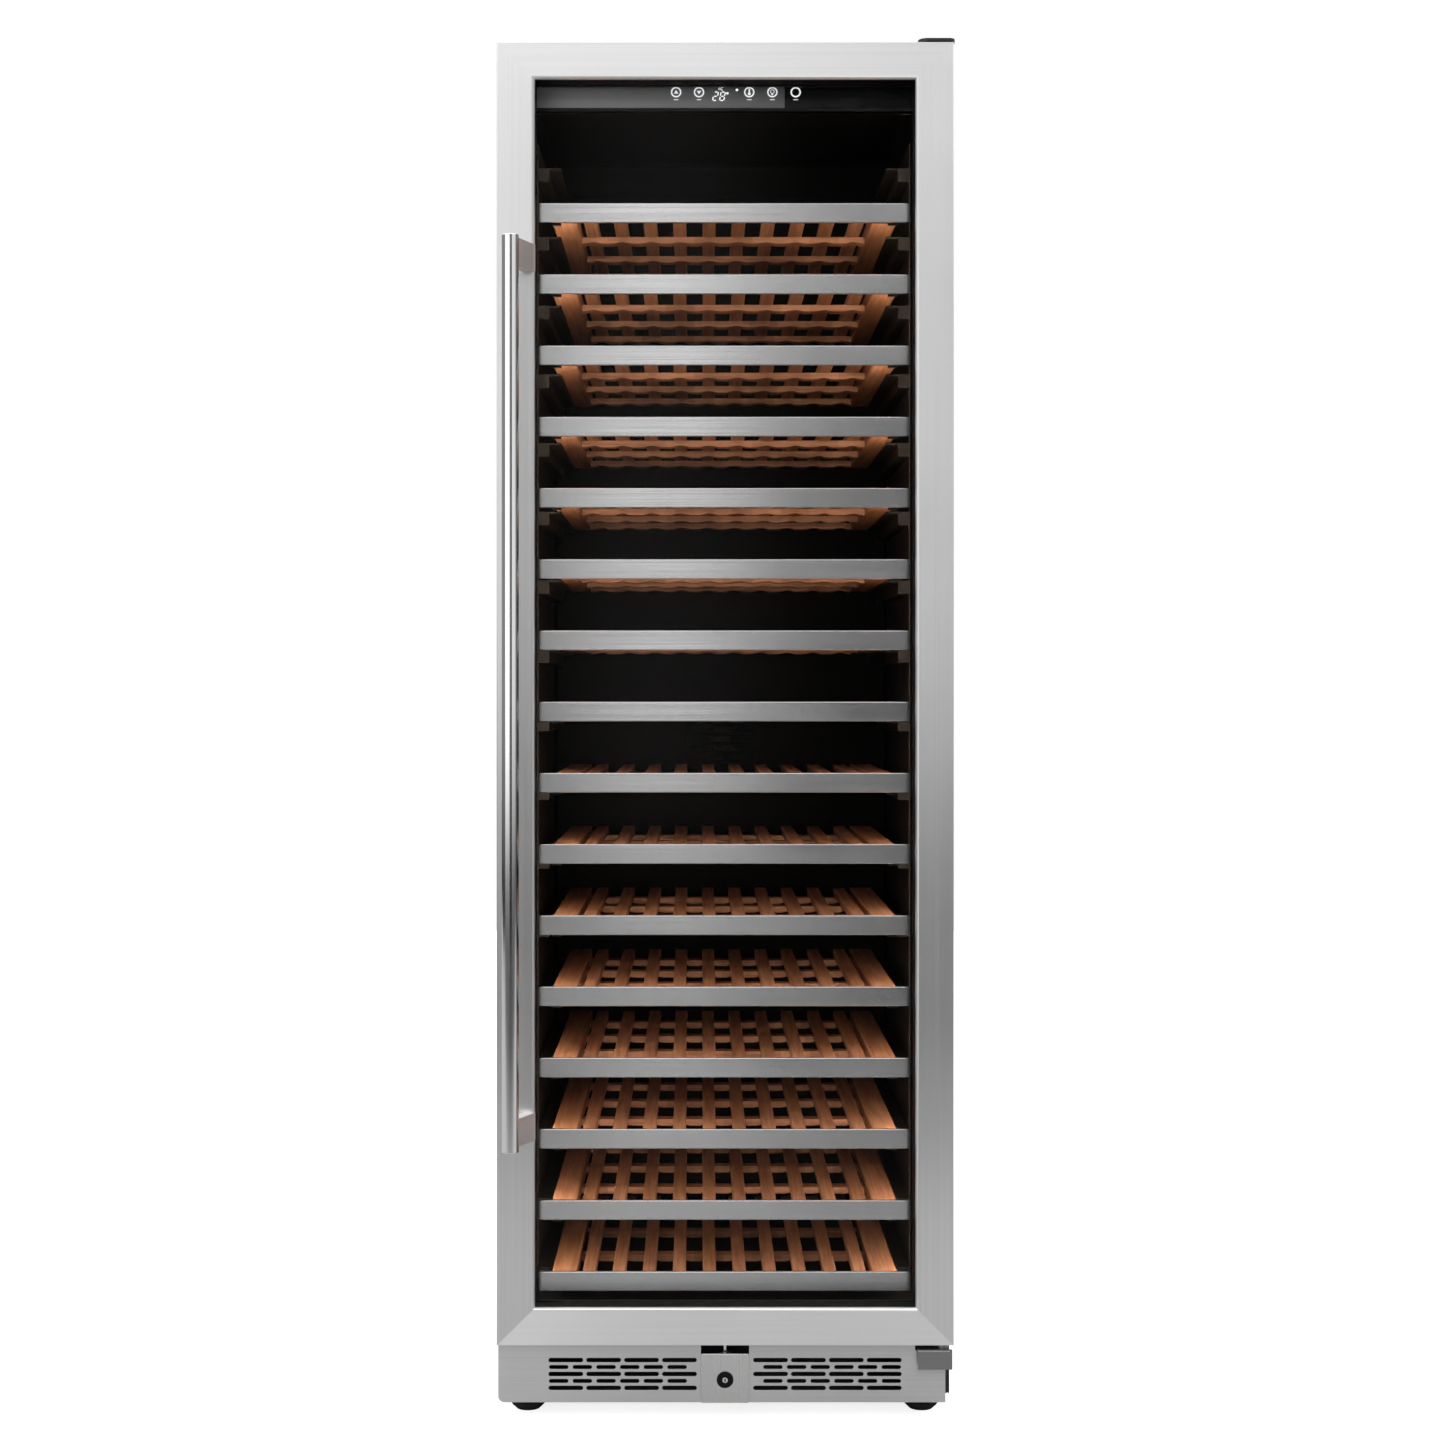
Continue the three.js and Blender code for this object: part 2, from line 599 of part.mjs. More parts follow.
addNode('kick_grille', 'steel', kickGrille());
addNode('lock_plate', 'steel', lockPlate());
addNode('lock_cylinder', 'steel', lockCylinder());
addNode('lock_bolt', 'steel', lockBolt());
addNode('compressor', 'darkSteel', compressor());
addNode('condenser_fan', 'black', fan(90, 67, 120, 145, 36, 13, 7));
addNode('door_frame', 'steel', doorFrame());
addNode('door_core', 'black', doorCore());
addNode('door_glass_outer', 'glass', pane(FRONT_LIP + GAP));
addNode('door_glass_inner', 'glass', pane(REAR_LIP - GAP - PANE_THICKNESS));
addNode('door_gasket', 'rubber', doorGasket());
addNode('handle_bar', 'steel', handleBar());
addNode('handle_bracket_top', 'steel', handleBracket(HANDLE_TOP - BRACKET_INSET - BRACKET_HEIGHT));
addNode('handle_bracket_bottom', 'steel', handleBracket(HANDLE_BOTTOM + BRACKET_INSET + 3));
addNode('top_hinge', 'darkSteel', topHinge());
addNode('bottom_hinge', 'steel', bottomHinge());

export default group;
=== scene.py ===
import math

import bmesh
import bpy
from bpy.props import FloatProperty, FloatVectorProperty, PointerProperty
from bpy.types import Operator, Panel, PropertyGroup
from mathutils import Matrix, Vector


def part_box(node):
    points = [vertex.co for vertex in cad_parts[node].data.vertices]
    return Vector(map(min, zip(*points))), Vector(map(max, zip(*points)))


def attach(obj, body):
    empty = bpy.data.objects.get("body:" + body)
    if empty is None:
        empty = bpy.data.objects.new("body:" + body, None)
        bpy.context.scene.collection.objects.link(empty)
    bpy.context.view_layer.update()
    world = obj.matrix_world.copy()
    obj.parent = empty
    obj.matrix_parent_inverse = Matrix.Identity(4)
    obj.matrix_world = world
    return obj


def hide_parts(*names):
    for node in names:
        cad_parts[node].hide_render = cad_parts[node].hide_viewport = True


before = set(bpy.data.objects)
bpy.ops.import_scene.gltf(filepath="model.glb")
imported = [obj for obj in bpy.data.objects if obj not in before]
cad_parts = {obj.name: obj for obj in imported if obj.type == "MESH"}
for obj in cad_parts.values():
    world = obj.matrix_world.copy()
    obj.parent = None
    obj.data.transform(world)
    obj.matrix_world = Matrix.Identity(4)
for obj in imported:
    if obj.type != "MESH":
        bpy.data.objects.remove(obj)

bl_info = {
    "name": "Wine cooler",
    "version": (1, 0, 0),
    "blender": (4, 5, 0),
    "location": "View3D > Sidebar > Wine cooler",
    "description": "Builds the door, shelves, cabinet and base of a tall glass-door wine cooler",
    "category": "Object",
}

# Pieces are drawn in millimetres as (x, depth back from the door's front, z), then placed in metres.
MM = 0.001
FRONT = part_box("door_frame")[0].y
PLACE = Matrix.Translation((0, FRONT, 0)) @ Matrix.Scale(MM, 4)
SMOOTH_ANGLE = math.radians(38)
MERGE = 0.002

# Every finish by its name, filled by the first step of the build.
FINISHES = {}


def extent(node):
    """A CAD node's lowest and highest corners as (x, depth, z) in millimetres."""
    to_drawing = PLACE.inverted()
    low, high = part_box(node)
    return to_drawing @ low, to_drawing @ high


DOOR_LOW, DOOR_HIGH = extent("door_frame")
CASING_LOW, CASING_HIGH = extent("outer_casing")
LINER_LOW, LINER_HIGH = extent("inner_liner")
PANE_LOW, PANE_HIGH = extent("door_glass_outer")
SHELF_COUNT = sum(name.endswith("_trim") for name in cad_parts)
WINDOW = (248, 150, 1750)
SYMBOL_LEVEL = 1747

# The door's pins and the lock bolt stand in holes of the door, with this much room round them.
HINGE_X, HINGE_DEPTH, PIN_RADIUS, PIN_HOLE = 285, 22, 4, 4.4
BOLT_DEPTH, BOLT_HOLE = 27, 5.5

# A rack has ten slats between two side boards, on three cross bars.
SLATS, SLAT_PITCH, SLAT_WIDTH, SLAT_HEIGHT = 10, 40.2, 17.5, 12
SIDE_BOARD_X = 197
CROSS_BARS, CROSS_BAR_WIDTH = (217, 359, 501), 23


# ---------------------------------------------------------------- mesh helpers

def material_of(faces, index):
    for face in faces:
        face.material_index = index


def faces_of(verts):
    return list({face for vert in verts for face in vert.link_faces})


def edges_of(verts):
    return list({edge for vert in verts for edge in vert.link_edges})


def soften(bm, edges, width, segments=2):
    return bmesh.ops.bevel(bm, geom=list(edges), offset=width, offset_type="OFFSET", segments=segments,
                           profile=0.5, affect="EDGES", clamp_overlap=True, material=-1)


def block(bm, low, high, edge=0.0, segments=2, index=0):
    """Adds a box between two corners, with softened edges."""
    low, high = Vector(low), Vector(high)
    placed = Matrix.Translation((low + high) / 2) @ Matrix.Diagonal((*(high - low), 1))
    verts = bmesh.ops.create_cube(bm, size=1, matrix=placed)["verts"]
    material_of(faces_of(verts), index)
    if edge:
        soften(bm, edges_of(verts), edge, segments)


def prism(bm, points, span, along="z", edge=0.0, segments=2, index=0):
    """Draws an outline across one axis and extrudes it over a span of that axis.
    The outline is (x, depth) along z, (x, z) along depth and (depth, z) along x."""
    place = {
        "z": lambda u, v, w: (u, v, w),
        "depth": lambda u, v, w: (u, w, v),
        "x": lambda u, v, w: (w, u, v),
    }[along]
    start, end = span
    face = bm.faces.new([bm.verts.new(place(u, v, start)) for u, v in points])
    face.material_index = index
    shift = Vector(place(0, 0, end)) - Vector(place(0, 0, start))
    made = bmesh.ops.extrude_face_region(bm, geom=[face])["geom"]
    tops = [item for item in made if isinstance(item, bmesh.types.BMVert)]
    bmesh.ops.translate(bm, vec=shift, verts=tops)
    whole = list({vert for top in tops for link in top.link_edges for vert in link.verts})
    material_of(faces_of(whole), index)
    if edge:
        soften(bm, edges_of(whole), edge, segments)


def turned(bm, profile, centre, axis, steps=32, index=0):
    """Turns a profile of (radius, distance along the axis) once round an axis through centre."""
    centre, axis = Vector(centre), Vector(axis)
    side = Vector((1, 0, 0))
    verts = [bm.verts.new(centre + side * radius + axis * reach) for radius, reach in profile]
    edges = [bm.edges.new(pair) for pair in zip(verts, verts[1:])]
    before = set(bm.faces)
    bmesh.ops.spin(bm, geom=verts + edges, cent=centre, axis=axis, dvec=(0, 0, 0), angle=2 * math.pi,
                   steps=steps, use_merge=True, use_duplicate=False)
    material_of(set(bm.faces) - before, index)


def ring(bm, outer, inner, profile, index=0, rail_index=None):
    """Carries a closed profile of (inset, depth) round a rectangle, from its outer edge to its inner one.
    A rectangle is (half width, bottom, top). The rails can have a finish of their own."""
    border, middle = outer[0] - inner[0], (outer[1] + outer[2]) / 2
    before = set(bm.faces)
    loop = bmesh.ops.create_grid(bm, x_segments=1, y_segments=1, size=1,
                                 matrix=Matrix.Translation((0, 0, middle)) @ Matrix.Rotation(math.pi / 2, 4, "X"))
    verts = loop["verts"]
    edges = edges_of(verts)
    bmesh.ops.delete(bm, geom=faces_of(verts), context="FACES_ONLY")
    for inset, depth in [*profile, profile[0]]:
        x, z0, z1 = (a + (b - a) * inset / border for a, b in zip(outer, inner))
        if (inset, depth) != profile[0] or len(set(bm.faces) - before):
            made = bmesh.ops.extrude_edge_only(bm, edges=edges)["geom"]
            verts = [item for item in made if isinstance(item, bmesh.types.BMVert)]
            edges = [item for item in made if isinstance(item, bmesh.types.BMEdge)
                     and item.verts[0] in verts and item.verts[1] in verts]
        for vert in verts:
            vert.co = (math.copysign(x, vert.co.x), depth, z0 if vert.co.z < middle else z1)
    for face in set(bm.faces) - before:
        spot = face.calc_center_median()
        in_rail = min(spot.z - outer[1], outer[2] - spot.z) < outer[0] - abs(spot.x)
        face.material_index = index if rail_index is None or not in_rail else rail_index


def arc(centre, radius, start, end, steps):
    """Points on a circle between two angles in degrees."""
    turns = [math.radians(start + (end - start) * i / steps) for i in range(steps + 1)]
    return [(centre[0] + radius * math.cos(t), centre[1] + radius * math.sin(t)) for t in turns]


def rounded(x0, x1, z0, z1, radius, steps=5):
    """The outline of a rectangle with round corners."""
    return (arc((x1 - radius, z0 + radius), radius, -90, 0, steps)
            + arc((x1 - radius, z1 - radius), radius, 0, 90, steps)
            + arc((x0 + radius, z1 - radius), radius, 90, 180, steps)
            + arc((x0 + radius, z0 + radius), radius, 180, 270, steps))


def plate(bm, outlines, depth0, depth1, edge=0.3, index=0):
    """Adds a flat plate with holes: closed outlines of (x, z), the first its edge and the rest its holes."""
    curve = bpy.data.curves.new("outline", "CURVE")
    curve.dimensions, curve.fill_mode = "2D", "BOTH"
    curve.extrude = (depth1 - depth0) / 2 - edge
    curve.bevel_depth, curve.bevel_resolution, curve.offset = edge, 1, -edge
    for points in outlines:
        spline = curve.splines.new("POLY")
        spline.points.add(len(points) - 1)
        for point, (x, z) in zip(spline.points, points):
            point.co = (x, z, 0, 1)
        spline.use_cyclic_u = True
    flat = bpy.data.objects.new("outline", curve)
    mesh = bpy.data.meshes.new_from_object(flat)
    before = set(bm.verts)
    bm.from_mesh(mesh)
    added = [vert for vert in bm.verts if vert not in before]
    upright = Matrix.Translation((0, (depth0 + depth1) / 2, 0)) @ Matrix.Rotation(math.pi / 2, 4, "X")
    bmesh.ops.transform(bm, matrix=upright, verts=added)
    material_of(faces_of(added), index)
    bpy.data.objects.remove(flat)
    bpy.data.curves.remove(curve)
    bpy.data.meshes.remove(mesh)
    return added


def screw(bm, x, depth, z, axis, radius=3.5, index=0):
    """Adds a pan-head screw with a socket in its head, its head standing on the point given."""
    profile = [(0, 0.6), (radius * 0.45, 0.6), (radius * 0.5, 1.5), (radius * 0.8, 1.4), (radius, 0.7), (radius, 0)]
    turned(bm, profile, (x, depth, z), axis, 12, index)


def bore(bm, holes, finishes):
    """Bores upright blind holes into a drawing. Each is its centre (x, depth), lowest and highest z, and radius."""
    bmesh.ops.remove_doubles(bm, verts=bm.verts, dist=MERGE)
    drill = bmesh.new()
    for x, depth, low, high, radius in holes:
        turned(drill, [(0, low), (radius, low), (radius, high), (0, high)], (x, depth, 0), (0, 0, 1), 24)
    bmesh.ops.remove_doubles(drill, verts=drill.verts, dist=MERGE)
    pair = []
    for drawing in (bm, drill):
        bmesh.ops.recalc_face_normals(drawing, faces=drawing.faces)
        mesh = bpy.data.meshes.new("bored")
        drawing.to_mesh(mesh)
        for finish in finishes:
            mesh.materials.append(FINISHES[finish])
        pair.append(bpy.data.objects.new("bored", mesh))
        bpy.context.scene.collection.objects.link(pair[-1])
    drill.free()
    cut = pair[0].modifiers.new("bore", "BOOLEAN")
    cut.operation, cut.solver, cut.object = "DIFFERENCE", "EXACT", pair[1]
    result = bpy.data.meshes.new_from_object(pair[0].evaluated_get(bpy.context.evaluated_depsgraph_get()))
    bm.clear()
    bm.from_mesh(result)
    meshes = [result, *(piece.data for piece in pair)]
    for piece in pair:
        bpy.data.objects.remove(piece)
    for mesh in meshes:
        bpy.data.meshes.remove(mesh)


def finish_piece(name, bm, body, finishes, slot, *stands_for):
    """Turns a drawing into a finished piece on its body. Its finishes are given by name."""
    bmesh.ops.remove_doubles(bm, verts=bm.verts, dist=MERGE)
    bmesh.ops.dissolve_degenerate(bm, dist=MERGE / 4, edges=bm.edges)
    bmesh.ops.recalc_face_normals(bm, faces=bm.faces)
    bmesh.ops.transform(bm, matrix=PLACE, verts=bm.verts)
    for face in bm.faces:
        face.smooth = True
    for edge in bm.edges:
        edge.smooth = len(edge.link_faces) == 2 and edge.calc_face_angle(0) < SMOOTH_ANGLE
    mesh = bpy.data.meshes.new(name)
    bm.to_mesh(mesh)
    bm.free()
    for finish in finishes:
        mesh.materials.append(FINISHES[finish])
    piece = bpy.data.objects.new(name, mesh)
    bpy.context.scene.collection.objects.link(piece)
    level = piece.modifiers.new("level normals", "WEIGHTED_NORMAL")
    level.keep_sharp = True
    shown = piece.evaluated_get(bpy.context.evaluated_depsgraph_get())
    piece.data = bpy.data.meshes.new_from_object(shown)
    piece.modifiers.clear()
    bpy.data.meshes.remove(mesh)
    piece.data.name = name
    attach(piece, body)
    if stands_for:
        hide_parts(*stands_for)
    return piece


# ---------------------------------------------------------------- finishes

def fill_ramp(band, stops):
    """Gives a colour ramp its stops: pairs of a position and a colour, in rising order."""
    for element, (spot, colour) in zip((band.elements[1], band.elements[0]), (stops[-1], stops[0])):
        element.position, element.color = spot, (*colour, 1)
    for spot, colour in stops[1:-1]:
        band.elements.new(spot).color = (*colour, 1)


class Nodes:
    """Short ways to add nodes to a tree."""

    def __init__(self, tree):
        self.tree = tree

    def feed(self, socket, value):
        if isinstance(value, bpy.types.NodeSocket):
            self.tree.links.new(value, socket)
        else:
            socket.default_value = value

    def add(self, kind, inputs=None, **settings):
        node = self.tree.nodes.new(kind)
        for setting, value in settings.items():
            setattr(node, setting, value)
        for socket, value in (inputs or {}).items():
            self.feed(node.inputs[socket], value)
        return node

    def range(self, value, low, high, to_low, to_high):
        inputs = {"Value": value, "From Min": low, "From Max": high, "To Min": to_low, "To Max": to_high}
        return self.add("ShaderNodeMapRange", inputs).outputs["Result"]

    def sum(self, first, second, operation="ADD"):
        return self.add("ShaderNodeMath", {0: first, 1: second}, operation=operation).outputs[0]

    def mix(self, amount, first, second, blend="MIX"):
        node = self.add("ShaderNodeMix", data_type="RGBA", blend_type=blend)
        self.feed(node.inputs[0], amount)
        self.feed(node.inputs[6], first)
        self.feed(node.inputs[7], second)
        return node.outputs[2]

    def ramp(self, value, stops):
        node = self.add("ShaderNodeValToRGB", {"Fac": value})
        fill_ramp(node.color_ramp, stops)
        return node.outputs["Color"]

    def surface(self, shader, output):
        self.tree.links.new(shader, self.tree.nodes[output].inputs["Surface"])


class Finish(Nodes):
    """A material in the making, with its shader."""

    def __init__(self, name, **sockets):
        self.material = bpy.data.materials.new(name)
        self.material.use_nodes = True
        super().__init__(self.material.node_tree)
        self.shader = self.tree.nodes["Principled BSDF"]
        self.coords = self.add("ShaderNodeTexCoord").outputs["Object"]
        self.set(**sockets)

    def set(self, **sockets):
        for socket, value in sockets.items():
            self.feed(self.shader.inputs[socket.replace("_", " ")], value)

    def stretched(self, scale):
        """The object's coordinates, multiplied along each axis."""
        return self.add("ShaderNodeMapping", {"Vector": self.coords, "Scale": scale}).outputs["Vector"]

    def noise(self, scale, detail=3.0, roughness=0.5):
        vector = self.stretched(scale)
        made = self.add("ShaderNodeTexNoise", {"Vector": vector, "Scale": 1.0, "Detail": detail,
                                               "Roughness": roughness})
        return made.outputs["Fac"]

    def bump(self, height, strength, distance):
        inputs = {"Height": height, "Strength": strength, "Distance": distance}
        self.set(Normal=self.add("ShaderNodeBump", inputs).outputs["Normal"])


def grey(value):
    return (value, value, value)


def brushed(name, across, tone, roughness, turn_axis, streak=1.0, spread=0.75):
    """Stainless steel brushed one way: fine streaks across one axis, and the blur that they give."""
    finish = Finish(name, Metallic=1.0, Anisotropic=spread)
    slow, fast, broad = 2.5, 1500.0, 260.0
    fine = finish.noise([fast if axis == across else slow for axis in "xyz"], 2, 0.6)
    wide = finish.noise([broad if axis == across else slow * 0.5 for axis in "xyz"], 3, 0.55)
    cloud = finish.noise([5.0, 5.0, 5.0], 2)
    grain = finish.sum(finish.sum(fine, 0.55, "MULTIPLY"), finish.sum(wide, 0.45, "MULTIPLY"))
    half = 0.11 * streak
    colour = finish.ramp(finish.range(grain, 0.3, 0.7, 0, 1), [
        (0, grey(tone * (1 - half))), (0.5, grey(tone)), (1, grey(min(1, tone * (1 + half * 0.7))))])
    soft = finish.sum(finish.range(grain, 0.3, 0.7, roughness + 0.05, roughness - 0.04),
                      finish.range(cloud, 0.3, 0.7, -0.025, 0.025))
    finish.set(Base_Color=colour, Roughness=soft)
    finish.set(Tangent=finish.add("ShaderNodeTangent", direction_type="RADIAL", axis=turn_axis).outputs[0])
    finish.bump(grain, 0.12 * streak, 0.0002)
    return finish.material


def polished(name, tone, roughness):
    """Bright drawn steel, with faint length-wise marks and handling haze."""
    finish = Finish(name, Metallic=1.0)
    marks = finish.noise([900, 900, 5], 2, 0.6)
    haze = finish.noise([22, 22, 9], 3)
    finish.set(
        Base_Color=finish.ramp(marks, [(0.3, grey(tone * 0.93)), (0.7, grey(tone))]),
        Roughness=finish.sum(finish.range(haze, 0.3, 0.7, roughness - 0.02, roughness + 0.03),
                             finish.range(marks, 0.3, 0.7, -0.01, 0.01)))
    finish.bump(marks, 0.05, 0.0001)
    return finish.material


def painted(name, colour, roughness=0.42, peel=0.35):
    """Powder-coated steel, with the orange-peel texture of the coat."""
    finish = Finish(name, Specular_IOR_Level=0.45)
    texture = finish.noise([420, 420, 420], 2, 0.5)
    patches = finish.noise([6, 6, 6], 3)
    dark = [value * 0.75 for value in colour]
    finish.set(Base_Color=finish.ramp(patches, [(0.3, dark), (0.7, colour)]),
               Roughness=finish.range(texture, 0.3, 0.7, roughness - 0.05, roughness + 0.08))
    finish.bump(texture, peel, 0.0004)
    return finish.material


def moulded(name, colour, roughness=0.5, grain=1400.0, specular=0.35, strength=0.25):
    """Injection-moulded plastic with a spark-eroded grain."""
    finish = Finish(name, Specular_IOR_Level=specular)
    texture = finish.noise([grain, grain, grain], 2, 0.55)
    flow = finish.noise([9, 9, 3], 3)
    dark = [value * 0.7 for value in colour]
    finish.set(Base_Color=finish.ramp(flow, [(0.25, dark), (0.75, colour)]),
               Roughness=finish.range(texture, 0.3, 0.7, roughness - 0.06, roughness + 0.08))
    finish.bump(texture, strength, 0.0002)
    return finish.material


def rubber(name, colour):
    """Matt rubber, faintly dusty."""
    finish = Finish(name, Specular_IOR_Level=0.25)
    skin = finish.noise([700, 700, 700], 3, 0.6)
    dust = finish.noise([60, 60, 60], 4, 0.6)
    light = [value * 1.7 + 0.004 for value in colour]
    finish.set(Base_Color=finish.ramp(dust, [(0.35, colour), (0.75, light)]),
               Roughness=finish.range(skin, 0.3, 0.7, 0.7, 0.9))
    finish.bump(skin, 0.3, 0.0003)
    return finish.material


def timber(name, along, light, dark, shelf_pitch, slat_pitch):
    """Oiled beech with its grain along one axis. Each slat of each shelf has a tone of its own."""
    finish = Finish(name, Specular_IOR_Level=0.35, Coat_Weight=0.06, Coat_Roughness=0.35)
    slow, fast = 7.0, 190.0
    scale = [slow if axis == along else fast for axis in "xyz"]
    rings = finish.noise(scale, 3, 0.6)
    pores = finish.noise([value * 4.5 if value == fast else 42.0 for value in scale], 2, 0.5)
    flame = finish.noise([value * 0.22 for value in scale], 2)
    cells = finish.add("ShaderNodeVectorMath", {0: finish.coords, 1: (slat_pitch, 10.0, shelf_pitch)},
                       operation="SNAP").outputs["Vector"]
    offset = finish.add("ShaderNodeVectorMath", {0: cells, 1: (0.013, 0, 0.017)}, operation="ADD").outputs["Vector"]
    tone = finish.add("ShaderNodeTexWhiteNoise", {"Vector": offset}, noise_dimensions="3D").outputs["Value"]
    figure = finish.sum(finish.sum(rings, 0.6, "MULTIPLY"), finish.sum(flame, 0.4, "MULTIPLY"))
    middle = [(a + b) / 2 for a, b in zip(light, dark)]
    colour = finish.ramp(figure, [(0.33, dark), (0.5, middle), (0.66, light)])
    shade = finish.ramp(tone, [(0, (0.72, 0.68, 0.62)), (0.5, (0.9, 0.88, 0.86)), (1, (1.0, 1.0, 1.0))])
    colour = finish.mix(1.0, colour, shade, "MULTIPLY")
    colour = finish.mix(finish.range(pores, 0.58, 0.72, 0, 0.5), colour, (*[value * 0.45 for value in dark], 1))
    finish.set(Base_Color=colour, Roughness=finish.range(figure, 0.3, 0.7, 0.6, 0.42))
    finish.bump(finish.sum(figure, finish.sum(pores, 0.4, "MULTIPLY")), 0.3, 0.0003)
    return finish.material


def clear_glass(name, reflection, tint):
    """Coated flat glass: it passes a little less than all the light, and reflects faintly."""
    finish = Finish(name)
    smear = finish.noise([14, 14, 5], 3)
    through = finish.add("ShaderNodeBsdfTransparent", {"Color": (*tint, 1)})
    gloss = finish.add("ShaderNodeBsdfGlossy", {"Roughness": finish.range(smear, 0.3, 0.7, 0.01, 0.04)})
    gloss.inputs["Color"].default_value = (1, 1, 1, 1)
    edge = finish.add("ShaderNodeFresnel", {"IOR": 1.45}).outputs[0]
    share = finish.sum(edge, reflection, "MULTIPLY")
    both = finish.add("ShaderNodeMixShader", {0: share, 1: through.outputs[0], 2: gloss.outputs[0]})
    finish.surface(both.outputs[0], "Material Output")
    finish.tree.nodes.remove(finish.shader)
    return finish.material


def panel_face_with_painted_reflection(name, edge_x):
    """The control panel's front: gloss black, with a painted reflection left of one edge, a grey that is lighter
    further left.
    """
    finish = Finish(name, Specular_IOR_Level=0.3, Coat_Weight=0.15, Coat_Roughness=0.03)
    x = finish.add("ShaderNodeSeparateXYZ", {"Vector": finish.coords}).outputs["X"]
    # Painted reflection: grey left of edge_x, lighter further left, black right of it.
    reflection_fade = finish.range(x, -0.25, edge_x, 0.27, 0.155)
    reflection_side = finish.add("ShaderNodeMath", {0: x, 1: edge_x}, operation="LESS_THAN").outputs[0]
    cloud = finish.noise([9, 9, 30], 2)
    tone = finish.sum(finish.sum(reflection_fade, reflection_side, "MULTIPLY"), finish.range(cloud, 0.3, 0.7, 0.006, 0.012))
    finish.set(Base_Color=finish.add("ShaderNodeCombineColor", {0: tone, 1: tone, 2: tone}).outputs[0],
               Roughness=finish.range(cloud, 0.3, 0.7, 0.1, 0.16))
    return finish.material


def lit(name, colour, strength):
    """A printed symbol lit from behind."""
    finish = Finish(name, Roughness=0.4)
    spread = finish.noise([800, 800, 800], 2)
    shade = finish.ramp(spread, [(0.3, [value * 0.8 for value in colour]), (0.7, colour)])
    finish.set(Base_Color=shade, Emission_Color=shade)
    finish.shader.inputs["Emission Strength"].default_value = strength
    return finish.material


def make_finishes(colours):
    """Makes every finish once, from the colours in the settings."""
    steel, wood_light, wood_dark = colours.steel_tone, tuple(colours.wood_light), tuple(colours.wood_dark)
    black, runner = tuple(colours.black), tuple(colours.runner)
    pitches = ((extent("shelf_01_trim")[1].z - extent("shelf_02_trim")[1].z) * MM, SLAT_PITCH * MM)
    FINISHES.update(
        rail_steel=brushed("steel_brushed_level", "z", steel, 0.36, "X", 0.6),
        stile_steel=brushed("steel_brushed_upright", "x", steel, 0.34, "Z", 0.6, 0.9),
        trim_steel=brushed("steel_trim", "z", steel * 0.86, 0.19, "X", 1.3, 1.0),
        kick_steel=brushed("steel_kick", "z", steel * 0.78, 0.33, "X", 0.7),
        bright_steel=polished("steel_bright", 0.9, 0.13),
        handle_steel=polished("steel_handle", 0.95, 0.1),
        hinge_steel=brushed("steel_hinge", "x", steel * 0.9, 0.25, "Z", 0.4, 0.4),
        # The bracket's steel is darkened to about a third of the other steel: painted shade under the door.
        bracket_steel=brushed("steel_bracket_painted_shade", "z", steel * 0.32, 0.3, "X", 0.3, 0.3),
        arm_steel=brushed("steel_arm", "z", steel * 0.95, 0.5, "X", 0.4, 0.0),
        painted_black=painted("steel_painted_black", (0.016, 0.017, 0.019)),
        hinge_black=painted("steel_hinge_black", (0.01, 0.01, 0.011), 0.3, 0.15),
        zinc=polished("steel_zinc_plated", 0.55, 0.3),
        black_plastic=moulded("plastic_black", black, 0.5),
        liner_plastic=moulded("plastic_liner", [value * 0.35 for value in black], 0.62, 900.0, 0.1),
        runner_plastic=moulded("plastic_runner", runner, 0.5, 1200.0, 0.4),
        gasket=rubber("rubber_gasket", (0.012, 0.012, 0.013)),
        foot_rubber=rubber("rubber_foot", (0.008, 0.008, 0.009)),
        wood_along=timber("beech_along", "y", wood_light, wood_dark, *pitches),
        wood_across=timber("beech_across", "x", wood_light, wood_dark, *pitches),
        glass=clear_glass("glass_clear", 0.05, (0.965, 0.965, 0.965)),
        glass_rear=clear_glass("glass_clear_rear", 0.03, (0.975, 0.975, 0.975)),
        # The panel's face carries a painted reflection left of x = 0.0795.
        panel_face=panel_face_with_painted_reflection("plastic_gloss_black", 0.0795),
        symbols=lit("symbols_lit", (0.8, 0.81, 0.82), 1.0),
        digits=lit("digits_lit", (0.85, 0.86, 0.87), 1.3),
    )


# ---------------------------------------------------------------- settings

class WineCoolerSettings(PropertyGroup):
    """Sizes and colours of the wine cooler that a user may change."""
    steel_tone: FloatProperty(name="Steel tone", description="How bright the brushed steel is",
                              default=0.88, min=0.3, max=1.0, subtype="FACTOR")
    wood_light: FloatVectorProperty(name="Wood, light grain", description="Colour of the shelves' light grain",
                                    default=(0.46, 0.23, 0.125), subtype="COLOR", min=0, max=1)
    wood_dark: FloatVectorProperty(name="Wood, dark grain", description="Colour of the shelves' dark grain",
                                   default=(0.23, 0.095, 0.048), subtype="COLOR", min=0, max=1)
    black: FloatVectorProperty(name="Black plastic", description="Colour of the black mouldings",
                               default=(0.012, 0.012, 0.013), subtype="COLOR", min=0, max=1)
    runner: FloatVectorProperty(name="Supports", description="Colour of the shelf supports",
                                default=(0.013, 0.012, 0.011), subtype="COLOR", min=0, max=1)
    slat_edge: FloatProperty(name="Slat edge", description="Chamfer along the shelf slats",
                             default=1.2 * MM, unit="LENGTH")


class WineCoolerStage(PropertyGroup):
    """Light and camera of the studio round the wine cooler."""
    lens: FloatProperty(name="Lens", description="Focal length of the camera", default=58.2, subtype="DISTANCE_CAMERA")
    distance: FloatProperty(name="Distance", description="From the door's front to the camera",
                            default=3.04, unit="LENGTH")
    key: FloatProperty(name="Key light", description="Power of the large front light", default=60.0, unit="POWER")
    lamp: FloatProperty(name="Cabinet lamps", description="Power of each lamp strip inside the cabinet",
                        default=3.2, unit="POWER")


